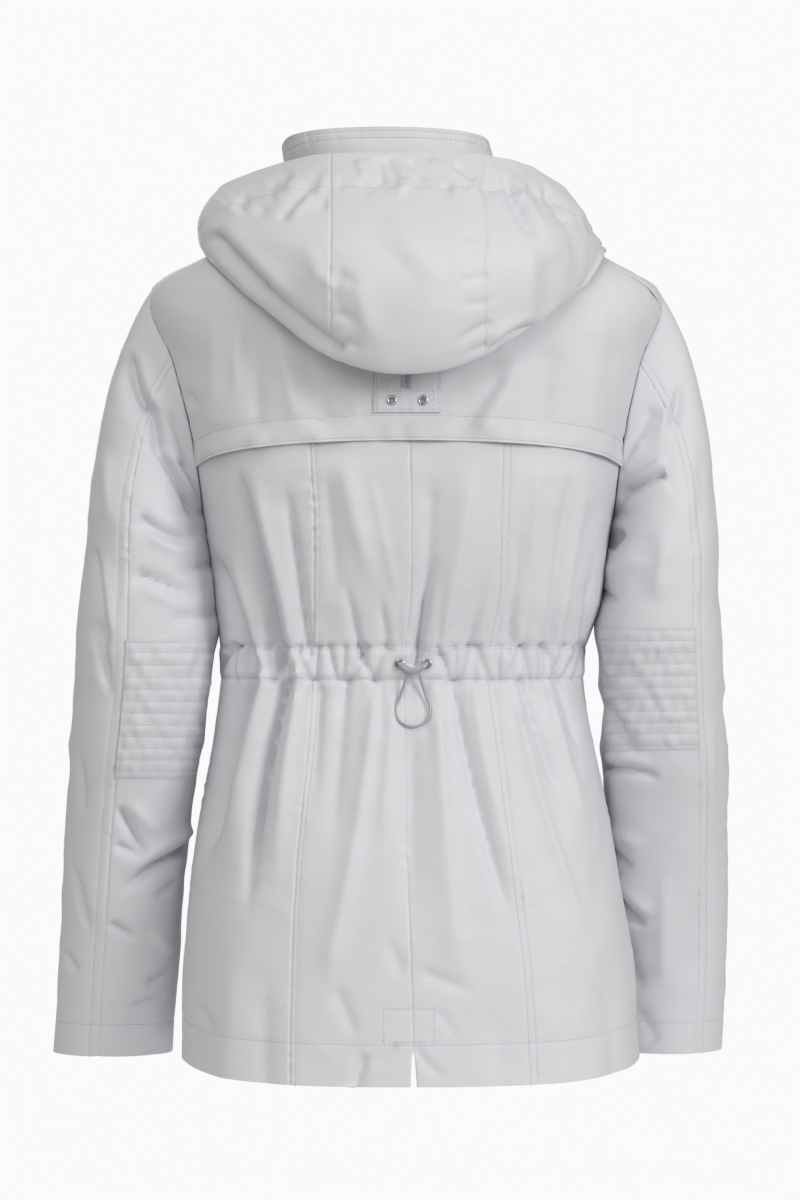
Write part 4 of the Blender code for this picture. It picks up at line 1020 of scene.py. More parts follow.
for side, sign in SIDES.items():
    points, normals = body_grid(centre_edge, princess_edge, back_v, CENTRE_COLUMNS, sign)
    cloth(f"back_centre_{side}_cloth", points, normals, back_out(points, normals), seams=("u0", "u1"),
          lines=(("u1", SEAM_STITCH), ("v1", HEM_DEPTH)),
          holes=WAIST_EYELETS)
    points, normals = body_grid(princess_edge, side_edge, back_v, SIDE_COLUMNS, sign)
    out = armhole_fade(points, back_out(points, normals), side)
    cloth(f"back_side_{side}_cloth", points, normals, out, seams=("u0", "u1"),
          lines=(("v1", HEM_DEPTH),))

# %% [markdown]
# ## Fronts
#
# Each front runs from the shoulder seam, which lies a little behind the shoulder's top, round the armhole and
# down the side seam, with the neckline and the zip along its other edge.

# %% Fronts
SHOULDER_NECK_ANGLE = 40.0
SHOULDER_TURN = 36.0
ZIP_EDGE = 4 * MM
FRONT_ARMHOLE_SHARE = 12 / 20
FRONT_NECK_SHARE = 7 / 20
FRONT_ROWS = 181
FRONT_COLUMNS = 56
ZIP_FADE = 30 * MM
SHOULDER_FADE = 25 * MM
ZIP_STITCH = 6 * MM


def front_side_edge(v):
    """Round the front of the armhole from the shoulder seam, then down the side seam."""
    angle, height = armhole(mix(SHOULDER_TURN, -UNDERARM_TURN, v / FRONT_ARMHOLE_SHARE))
    below = v >= FRONT_ARMHOLE_SHARE
    low = mix(UNDERARM, HEM, (v - FRONT_ARMHOLE_SHARE) / (1 - FRONT_ARMHOLE_SHARE))
    return np.where(below, SIDE_SEAM, angle), np.where(below, low, height)


def zip_angle(height):
    """The angle at which a front ends beside the zip."""
    return 180.0 - np.degrees(ZIP_EDGE / (table_at(TORSO, height)[4] * (1 + SQUARENESS)))


def front_zip_edge(v):
    """Round the neckline to the centre front, then down beside the zip."""
    height = mix(0.0, HEM, np.maximum(v - FRONT_NECK_SHARE, 0.0) / (1 - FRONT_NECK_SHARE))
    neck = mix(SHOULDER_NECK_ANGLE, zip_angle(np.zeros(1))[0], v / FRONT_NECK_SHARE)
    return np.where(v < FRONT_NECK_SHARE, neck, zip_angle(height)), height


front_v = np.linspace(0.0, 1.0, FRONT_ROWS)
for side, sign in SIDES.items():
    points, normals = body_grid(front_side_edge, front_zip_edge, front_v, FRONT_COLUMNS, sign)
    out = armhole_fade(points, body_out(points, normals), side)
    edges = edge_distances(points)
    out *= ease(edges["u1"] / ZIP_FADE) * ease(edges["v0"] / SHOULDER_FADE)
    cloth(f"front_{side}_cloth", points, normals, out, seams=("u0", "v0"), group="front",
          lines=(("u1", ZIP_STITCH), ("v1", HEM_DEPTH)))

# %% [markdown]
# ## Yoke and flap
#
# The yoke covers the shoulders. Its lower part hangs over the back panels as a flap: stitched along a line
# 20 mm above its hem, with a free edge that stands off a little, and not evenly.

# %% Yoke and flap
SHOULDER_SHARE = 8 / 13
FLAP_LIFT = 1.3 * MM
FLAP_FREE = 22 * MM
FLAP_STITCH = 20 * MM
FLAP_EDGE_STITCH = 2.5 * MM
YOKE_ROWS = 85
YOKE_COLUMNS = 161
FLUTTER_SEED = 44
FLUTTER_WAVES = 9
# size and height of the free edge's long and short waves
FLUTTER = ((60 * MM, 1.3 * MM), (24 * MM, 0.6 * MM))
TAB_FLAT = 30 * MM
TAB_RAMP = 14 * MM
BELOW_TAB_RAMP = 8 * MM


def yoke_edge(v):
    """Along the shoulder seam, then down the back of the armhole."""
    angle, height = armhole(SHOULDER_TURN)
    t = v / SHOULDER_SHARE
    down, low = armhole(mix(SHOULDER_TURN, FLAP_HEM_TURN, (v - SHOULDER_SHARE) / (1 - SHOULDER_SHARE)))
    above = v < SHOULDER_SHARE
    return np.where(above, mix(SHOULDER_NECK_ANGLE, angle, t), down), np.where(above, height * t, low)


yoke_v = np.linspace(0.0, 1.0, YOKE_ROWS)
across = np.linspace(-1.0, 1.0, YOKE_COLUMNS)[None, :]
edge_angle, edge_height = yoke_edge(yoke_v)
yoke_height = mix(mix(0.0, FLAP_HEM_MIDDLE, yoke_v)[:, None], edge_height[:, None], across ** 2)
yoke_angle = across * edge_angle[:, None]
points = on_ring(TORSO, yoke_angle, yoke_height)
normals = ring_normal(TORSO, yoke_angle, yoke_height)
edges = edge_distances(points)
x, _, z = np.moveaxis(points, -1, 0)
out = fold_field(x, z, YOKE_FOLDS) + crumple(points, BODY_SEED)
out = armhole_fade(points, armhole_fade(points, out, "left"), "right")
loose = ease((FLAP_FREE - edges["v1"]) / FLAP_STITCH)
flutter = sum(tall * waves(x, 0.2 * z, FLUTTER_SEED + k, size, FLUTTER_WAVES)
              for k, (size, tall) in enumerate(FLUTTER))
out += loose * np.maximum(FLAP_LIFT + flutter, 0.0)
beside_tab = ease((np.abs(x) - TAB_FLAT) / TAB_RAMP)
below_tab = ease((FLAP_STITCH_MIDDLE - z) / BELOW_TAB_RAMP)
cloth("back_yoke_cloth", points, normals, out * np.maximum(beside_tab, below_tab), seams=("u0", "u1"),
      lines=(("v1", FLAP_EDGE_STITCH), ("v1", FLAP_STITCH)))

# %% [markdown]
# ## Collar
#
# A stand collar of doubled cloth, sewn to the neckline, with a row of stitching near its top edge that draws
# the cloth into small upright puckers.

# %% Collar
COLLAR_WALL = 2.0 * MM
SEAM_GAP = 0.4 * MM
COLLAR_ROWS = 22
COLLAR_COLUMNS = 191
COLLAR_MIDDLE = (0.005, -0.01)
COLLAR_SEED = 52
DEGREE_ROUND = 1.6 * MM
TOP_STITCH = 3 * MM
SECOND_STITCH = 9 * MM
PUCKER_BAND = 7 * MM
# how quickly the top edge falls from the back, and from there to the front
SLOPES = (0.6, 1.3)


def on_collar(angle, height):
    """Its foot follows the neckline, and its top edge slopes evenly to the front."""
    point = on_ring(COLLAR, angle, height)
    _, back_z, front_z, *_ = table_at(COLLAR, height)
    c = np.cos(np.radians(angle))
    end_z = np.where(c > 0, back_z, front_z)
    even_z = height + (end_z - height) * np.abs(c) ** np.where(c > 0, *SLOPES)
    point[..., 2] = mix(point[..., 2], even_z, height / COLLAR[-1].height) + SEAM_GAP
    return point


collar_edge = float(zip_angle(np.zeros(1))[0])
angle, height = np.broadcast_arrays(np.linspace(-collar_edge, collar_edge, COLLAR_COLUMNS)[None, :],
                                    np.linspace(0.0, COLLAR[-1].height, COLLAR_ROWS)[:, None])
points = on_collar(angle, height)
normals = unit(np.cross(np.gradient(points, axis=1), np.gradient(points, axis=0)))
normals *= np.sign((normals[..., :2] * (points[..., :2] - COLLAR_MIDDLE)).sum(-1))[..., None]
top_rows = np.exp(-((edge_distances(points)["v1"] - SECOND_STITCH) / PUCKER_BAND) ** 2)
round_it = angle * DEGREE_ROUND
upright = waves(round_it, 0.05 * points[..., 2], COLLAR_SEED, 7 * MM, 12)
out = 0.35 * MM * upright * top_rows + 0.3 * MM * waves(round_it, points[..., 2], COLLAR_SEED + 1, 40 * MM)
cloth("collar_cloth", points, normals, out, seams=("v0",), lines=(("v1", TOP_STITCH), ("v1", SECOND_STITCH)),
      group="hood", wall=COLLAR_WALL, puckered=0.2 * MM)

# %% [markdown]
# ## Hood
#
# The hood hangs down the back, open upwards. It is cut in three: a long centre panel and two sides. Each
# section runs from the neck seam down the back, turns up at the fold, bulges out over the crown and ends at
# the brim, which is turned in as a casing and gathered by its elastic. The sections are close to the CAD
# model's, a little lower at the fold. Where they come too near the yoke and the fronts they are moved off.

# %% Hood form
HoodRow = namedtuple("HoodRow", "place neck fold_x fold_y fold_z crown_x crown_y crown_z rim_x rim_y rim_z")
HOOD = (
    HoodRow(-6.0, -156.0, -0.042, -0.101, -0.064, -0.041, -0.102, -0.055, -0.034, -0.092, -0.040),
    HoodRow(-5.0, -138.0, -0.096, -0.084, -0.058, -0.097, -0.086, -0.042, -0.080, -0.082, -0.024),
    HoodRow(-4.0, -112.0, -0.150, -0.020, -0.038, -0.150, -0.020, -0.022, -0.116, -0.026, 0.000),
    HoodRow(-3.0, -85.0, -0.157, 0.062, -0.046, -0.153, 0.064, -0.016, -0.138, 0.038, 0.014),
    HoodRow(-2.0, -62.0, -0.124, 0.122, -0.084, -0.124, 0.130, -0.026, -0.106, 0.064, 0.035),
    HoodRow(-1.0, -41.0, -0.062, 0.160, -0.126, -0.062, 0.176, -0.046, -0.062, 0.092, 0.043),
    HoodRow(0.0, 0.0, 0.000, 0.172, -0.142, 0.000, 0.188, -0.050, 0.000, 0.100, 0.043),
    HoodRow(1.0, 41.0, 0.062, 0.160, -0.128, 0.062, 0.176, -0.046, 0.062, 0.092, 0.044),
    HoodRow(2.0, 62.0, 0.122, 0.122, -0.082, 0.126, 0.130, -0.024, 0.113, 0.064, 0.036),
    HoodRow(3.0, 85.0, 0.162, 0.062, -0.040, 0.170, 0.064, -0.010, 0.158, 0.038, 0.019),
    HoodRow(4.0, 112.0, 0.154, -0.020, -0.036, 0.158, -0.020, -0.016, 0.128, -0.026, 0.007),
    HoodRow(5.0, 138.0, 0.104, -0.084, -0.058, 0.105, -0.086, -0.042, 0.088, -0.082, -0.022),
    HoodRow(6.0, 156.0, 0.052, -0.101, -0.064, 0.051, -0.102, -0.055, 0.044, -0.092, -0.040),
)
HOOD_SEAM_OUT = 2.2 * MM
HOOD_CLEAR = 6.5 * MM
HOOD_CLEAR_AT_SEAM = 3.5 * MM
CLEAR_SHARE = 0.15
HOOD_SOFTENING = 6
HOOD_SEAM_UP = 4 * MM
HOOD_SAG = 0.55
HOOD_FOLD_SHARE = 0.5
INNER_ROWS = 40
OUTER_ROWS = 90
HOOD_SIDE_COLUMNS = 102
HOOD_CENTRE_COLUMNS = 48
HoodPanel = namedtuple("HoodPanel", "name first last columns seams")
HOOD_PANELS = (
    HoodPanel("hood_right_cloth", -6.0, -1.0, HOOD_SIDE_COLUMNS, ("u1", "v0")),
    HoodPanel("hood_centre_cloth", -1.0, 1.0, HOOD_CENTRE_COLUMNS, ("u0", "u1", "v0")),
    HoodPanel("hood_left_cloth", 1.0, 6.0, HOOD_SIDE_COLUMNS, ("u0", "v0")),
)


print(len(HOOD), "sections of the hood")

# %% [markdown]
# Smooth curves join the sections both ways. A search for the nearest place on the body tells where the hood
# would touch it; what has to be moved there is softened over its neighbours, so that no edge shows.

# %% Hood places


def hood_form(place, v):
    """Sections of five points, each joined by a smooth curve, at every place round the neck."""
    columns = table_at(HOOD, place)
    neck = on_ring(TORSO, columns[1], np.zeros_like(place))
    outward = unit(neck * (1, 1, 0))
    start = neck + outward * HOOD_SEAM_OUT + np.array((0.0, 0.0, HOOD_SEAM_UP))
    fold = np.stack(columns[2:5], -1)
    crown = np.stack(columns[5:8], -1)
    rim = np.stack(columns[8:11], -1)
    stations = np.stack((start, mix(start, fold, HOOD_SAG), fold, crown, rim))
    spans = len(stations) - 1
    along = v * spans
    index = np.minimum(along.astype(int), spans - 1)
    f = (along - index)[:, None, None]
    a = stations[np.maximum(index - 1, 0)]
    b = stations[index]
    c = stations[index + 1]
    d = stations[np.minimum(index + 2, spans)]
    return 0.5 * (2 * b + (c - a) * f + (2 * a - 5 * b + 4 * c - d) * f ** 2
                  + (3 * b - a - 3 * c + d) * f ** 3)


def surface_of(names):
    """The outer skin of some pieces of cloth as one surface, to lay or keep other things on it."""
    points = []
    faces = []
    for name in names:
        skin, corners = outer_skins[name]
        faces += (corners + len(points)).tolist()
        points += skin.tolist()
    return BVHTree.FromPolygons(points, faces)


def softened(field, passes):
    """Each place of a grid takes the mean of itself and its neighbours, a few times over."""
    for _ in range(passes):
        wide = np.pad(field, ((1, 1), (0, 0), (0, 0)), mode="edge")
        field = (wide[:-2] + wide[1:-1] + wide[2:]) / 3
        wide = np.pad(field, ((0, 0), (1, 1), (0, 0)), mode="edge")
        field = (wide[:, :-2] + wide[:, 1:-1] + wide[:, 2:]) / 3
    return field


def kept_clear(points, tree, clearance):
    """Points that lie too near the body are moved out from it."""
    moved = points.copy()
    for index in np.ndindex(points.shape[:2]):
        place = Vector(points[index])
        near, normal, _, _ = tree.find_nearest(place)
        short = clearance[index] - (place - near).dot(normal)
        if short > 0:
            moved[index] += np.array(normal) * short
    return moved


hood_place = np.unique(np.concatenate([closer_at_ends(p.columns, p.first, p.last) for p in HOOD_PANELS]))
hood_v = np.concatenate((np.linspace(0.0, HOOD_FOLD_SHARE, INNER_ROWS, endpoint=False),
                         np.linspace(HOOD_FOLD_SHARE, 1.0, OUTER_ROWS)))
body_surface = surface_of(("back_yoke_cloth", "front_left_cloth", "front_right_cloth"))
plain = hood_form(hood_place, hood_v)
clearance = mix(HOOD_CLEAR_AT_SEAM, HOOD_CLEAR, ease(hood_v / CLEAR_SHARE))[:, None]
clearance = np.broadcast_to(clearance, plain.shape[:2])
hood_points = plain + softened(kept_clear(plain, body_surface, clearance) - plain, HOOD_SOFTENING)
hood_normals = unit(np.cross(np.gradient(hood_points, axis=1), np.gradient(hood_points, axis=0)))
crown_row = np.searchsorted(hood_v, (HOOD_FOLD_SHARE + 1) / 2)
if hood_normals[crown_row, len(hood_place) // 2, 1] < 0:
    hood_normals = -hood_normals
print("hood", hood_points.shape)

# %% [markdown]
# The folds that show on the hood are listed one by one as on the back. The brim's elastic gathers the cloth
# on both sides of its stitch line into short puckers, and the two panel seams are puckered all the way down.

# %% Hood cloth
BRIM = 46 * MM
BRIM_PUFF = 1.0 * MM
BRIM_SEED = 17
BRIM_FOLDS = 90
BRIM_HALF_WIDTH = 0.165
HOOD_SEED = 61
OUTSIDE_FROM = 0.47
OUTSIDE_RAMP = 0.06
NECK_FADE = 12 * MM
SAME_PLACE = 1e-6
HOOD_FOLDS = from_photo(
    (204, 224, 262, 292, 0, 7, 9, -9.0, 0.2, 0.1, 0.1),
    (250, 278, 340, 354, 4, 9, 8, -7.0, 0.2, 0.15, 0.05),
    (214, 214, 296, 306, 0, 13, 12, 4.5, 0, 0.25, 0.3),
    (208, 246, 262, 306, 0, 8, 8, 3.5, 0, 0.2, 0.3),
    (276, 222, 302, 186, 0, 5, 5, -3.5, 0, 0.2, 0.3),
    (284, 218, 312, 188, 0, 6, 6, 3.0, 0, 0.3, 0.3),
    (252, 214, 262, 200, 0, 6, 6, -2.0, 0, 0.3, 0.3),
    (318, 212, 322, 190, 0, 5, 5, -2.0, 0, 0.3, 0.3),
    (262, 180, 292, 166, 0, 8, 9, -3.0, 0, 0.3, 0.3),
    (300, 240, 326, 300, 0, 12, 12, 2.5, 0, 0.4, 0.4),
    (334, 276, 362, 290, 0, 6, 7, -1.8, 0, 0.05, 0.5),
    (335, 314, 360, 330, 0, 6, 7, -1.8, 0, 0.05, 0.5),
    (338, 343, 362, 353, 0, 6, 7, -1.8, 0, 0.05, 0.5),
    (345, 262, 372, 352, 0, 16, 14, 3.0, 0, 0.4, 0.3),
    (352, 222, 420, 290, 0, 14, 16, -2.5, 0, 0.4, 0.4),
    (380, 205, 440, 300, 0, 18, 18, 2.5, 0, 0.4, 0.4),
    (376, 150, 379, 182, 0, 5, 5, -3.0, 0, 0.1, 0.1),
    (384, 150, 402, 182, 2, 6, 5, -3.0, 0, 0.1, 0.3),
    (404, 153, 440, 182, 0, 5, 4, -3.5, 0, 0.2, 0.3),
    (426, 152, 470, 180, 0, 4, 4, 2.5, 0, 0.2, 0.3),
    (452, 156, 476, 178, 0, 4, 4, -3.5, 0, 0.2, 0.3),
    (356, 152, 362, 180, 0, 6, 5, 3.0, 0, 0.2, 0.3),
    (452, 238, 486, 242, 0, 5, 5, -1.4, 0, 0.4, 0.1),
    (456, 254, 486, 250, 0, 5, 5, -1.4, 0, 0.4, 0.1),
    (452, 285, 486, 279, 0, 5, 5, -1.5, 0, 0.4, 0.1),
    (454, 309, 486, 305, 0, 5, 5, -1.4, 0, 0.4, 0.1),
    (452, 346, 490, 325, -3, 5, 5, -3.0, 0, 0.3, 0.1),
    (460, 358, 486, 346, 0, 5, 5, -2.0, 0, 0.3, 0.1),
    (502, 164, 537, 242, 3, 5, 6, -6.0, 0.2, 0.2, 0.25),
    (512, 164, 548, 236, 3, 8, 9, 3.5, 0, 0.2, 0.4),
    (528, 236, 526, 330, 0, 14, 14, 4.0, 0, 0.3, 0.3),
    (548, 250, 545, 320, 0, 14, 14, -3.0, 0, 0.3, 0.3),
    (488, 356, 538, 323, -2, 4, 4, -6.0, 0, 0.1, 0.35),
    (486, 344, 540, 310, -2, 9, 9, 3.0, 0, 0.15, 0.4),
    (552, 204, 574, 214, 0, 4, 4, -3.0, 0, 0.3, 0.3),
    (556, 196, 584, 260, 0, 13, 12, -2.5, 0, 0.3, 0.3),
    nearer=0.15,
)


def brim_folds():
    """Place, width, depth, reach and slant of the short puckers, drawn from a fixed seed."""
    draw = np.random.RandomState(BRIM_SEED)
    folds = []
    for _ in range(BRIM_FOLDS):
        place = draw.uniform(-BRIM_HALF_WIDTH, BRIM_HALF_WIDTH)
        folds.append((place, draw.uniform(2.4, 5.0) * MM, draw.uniform(-2.6, 2.2) * MM,
                      draw.uniform(8, 22) * MM, draw.uniform(-0.5, 0.5)))
    return folds


edges = edge_distances(hood_points)
outside = ease((hood_v - OUTSIDE_FROM) / OUTSIDE_RAMP)[:, None]
x, _, z = np.moveaxis(hood_points, -1, 0)
out = outside * fold_field(x, z, HOOD_FOLDS) + crumple(hood_points, HOOD_SEED)
to_line = edges["v1"] - BRIM
for place, width, depth, reach, slant in brim_folds():
    q = (x - place - slant * to_line) / width
    out += depth * np.exp(-q * q) * np.exp(-(to_line / reach) ** 2) * outside
out += outside * BRIM_PUFF * np.sin(np.pi * np.clip(edges["v1"] / BRIM, 0, 1))
out *= ease(edges["v0"] / NECK_FADE)
for panel in HOOD_PANELS:
    part = slice(np.searchsorted(hood_place, panel.first - SAME_PLACE),
                 np.searchsorted(hood_place, panel.last + SAME_PLACE))
    cloth(panel.name, hood_points[:, part], hood_normals[:, part], out[:, part], seams=panel.seams,
          lines=(("v1", BRIM),), group="hood",
          puckered=0.6 * MM, reach=8 * MM)

# %% [markdown]
# ## Sleeves
#
# Each sleeve is cut in two: an upper piece over the arm's outside and an under piece along its inside. They
# start at the armhole, bend with the arm and end in a hemmed cuff. The right forearm reaches further forward
# than the left. The folds run slantwise from the armhole and the elbow, as they do when an arm is bent.

# %% Sleeve form
Arm = namedtuple("Arm", "height centre_x centre_y half_width half_depth")
SLEEVES = {
    "left": (
        Arm(-0.290, 0.2190, 0.000, 0.0510, 0.066),
        Arm(-0.354, 0.2180, 0.003, 0.0575, 0.063),
        Arm(-0.405, 0.2215, 0.002, 0.0568, 0.060),
        Arm(-0.455, 0.2275, -0.006, 0.0548, 0.057),
        Arm(-0.522, 0.2345, -0.024, 0.0528, 0.052),
        Arm(-0.623, 0.2430, -0.050, 0.0515, 0.047),
        Arm(-0.707, 0.2490, -0.066, 0.0510, 0.044),
    ),
    "right": (
        Arm(-0.290, 0.2180, 0.000, 0.0455, 0.066),
        Arm(-0.322, 0.2175, 0.000, 0.0470, 0.064),
        Arm(-0.354, 0.2150, 0.000, 0.0520, 0.062),
        Arm(-0.405, 0.2175, -0.008, 0.0515, 0.058),
        Arm(-0.455, 0.2200, -0.022, 0.0535, 0.056),
        Arm(-0.522, 0.2240, -0.052, 0.0525, 0.052),
        Arm(-0.623, 0.2285, -0.086, 0.0510, 0.048),
        Arm(-0.710, 0.2265, -0.106, 0.0505, 0.046),
    ),
}
SleeveRow = namedtuple("SleeveRow", "along left right")
SLEEVE_HEIGHTS = (
    SleeveRow(5 / 16, -0.290, -0.290),
    SleeveRow(6 / 16, -0.354, -0.344),
    SleeveRow(9 / 16, -0.468, -0.445),
    SleeveRow(1.0, -0.707, -0.710),
)
CAP_SHARE = SLEEVE_HEIGHTS[0].along
PATCH_FIRST = SLEEVE_HEIGHTS[1].along
PATCH_LAST = SLEEVE_HEIGHTS[2].along
CAP_DROP = (0.56, 0.0, -0.83)
SLEEVE_FRONT_SEAM = 252.0
SLEEVE_SEAM_AT_ARMHOLE = 72.0
SLEEVE_BACK_SEAM = {"left": 78.0, "right": 63.0}
CUFF_HEM = 28 * MM
CAP_REACH = 0.32
ARM_STEP = 10 * MM
ALONG_STEP = 0.002
CAP_ROWS = 88
ARM_ROWS = 176


print({side: len(rings) for side, rings in SLEEVES.items()}, "rings for the arms")

# %% [markdown]
# Above the arm's first ring the cap bends from the armhole out and down to it, as a curve with two handles.
# Below it the rings of the arm are followed. More columns lie beside the back seam, where most folds are.

# %% Places on a sleeve


def arm_ring(side, turn, height):
    """Points on the level rings of an arm."""
    _, centre_x, centre_y, half_width, half_depth = table_at(SLEEVES[side], height)
    x = centre_x + half_width * np.cos(np.radians(turn))
    y = centre_y + half_depth * np.sin(np.radians(turn))
    return np.stack((x * SIDES[side], y, np.broadcast_to(height, x.shape)), -1)


def sleeve_height(side, along):
    """Height of a place along the arm, below the cap."""
    return np.interp(along, [row.along for row in SLEEVE_HEIGHTS],
                     [getattr(row, side) for row in SLEEVE_HEIGHTS])


def sleeve_form(side, turn, along):
    """Turn 0 is outside and 90 the back; along 0 is the armhole and 1 the cuff."""
    sign = SIDES[side]
    top = np.full_like(turn, SLEEVES[side][0].height)
    angle, height = armhole(turn)
    start = on_ring(TORSO, angle * sign, height)
    end = arm_ring(side, turn, top)
    reach = CAP_REACH * np.linalg.norm(end - start, axis=-1, keepdims=True)
    arrive = unit(arm_ring(side, turn, top - ARM_STEP) - end)
    a = start + np.array((CAP_DROP[0] * sign, 0.0, CAP_DROP[2])) * reach
    b = end - arrive * reach
    t = np.clip(along / CAP_SHARE, 0.0, 1.0)[..., None]
    cap = start * (1 - t) ** 3 + a * (3 * t * (1 - t) ** 2) + b * (3 * t * t * (1 - t)) + end * t ** 3
    arm = arm_ring(side, turn, sleeve_height(side, along))
    return np.where((along >= CAP_SHARE)[..., None], arm, cap)


def sleeve_normal(side, turn, along):
    """Outward directions, from two short steps round the arm and along it."""
    round_it = sleeve_form(side, turn + NORMAL_TURN, along) - sleeve_form(side, turn - NORMAL_TURN, along)
    down_it = sleeve_form(side, turn, along + ALONG_STEP) - sleeve_form(side, turn, along - ALONG_STEP)
    return unit(np.cross(round_it, down_it)) * -SIDES[side]


def sleeve_seam(side, along):
    """The turn at which the back seam lies."""
    return mix(SLEEVE_SEAM_AT_ARMHOLE, SLEEVE_BACK_SEAM[side], ease(along / CAP_SHARE))


def crowded(places, share):
    """Places from 0 to 1 moved together towards the last one, or with a negative share the first one."""
    return places + share * places * (1 - places)


sleeve_v = np.concatenate((np.linspace(0.0, CAP_SHARE, CAP_ROWS, endpoint=False),
                           np.linspace(CAP_SHARE, 1.0, ARM_ROWS)))


def sleeve_grid(side, first, last, columns, share):
    """Turns, places along, points and outward directions of a sleeve between two of its seams."""
    across = crowded(closer_at_ends(columns), share)[None, :]
    along = np.broadcast_to(sleeve_v[:, None], (len(sleeve_v), across.size))
    turn = mix(first, last, across)
    return turn, along, sleeve_form(side, turn, along), sleeve_normal(side, turn, along)


print("sleeves", len(sleeve_v), "rows each")
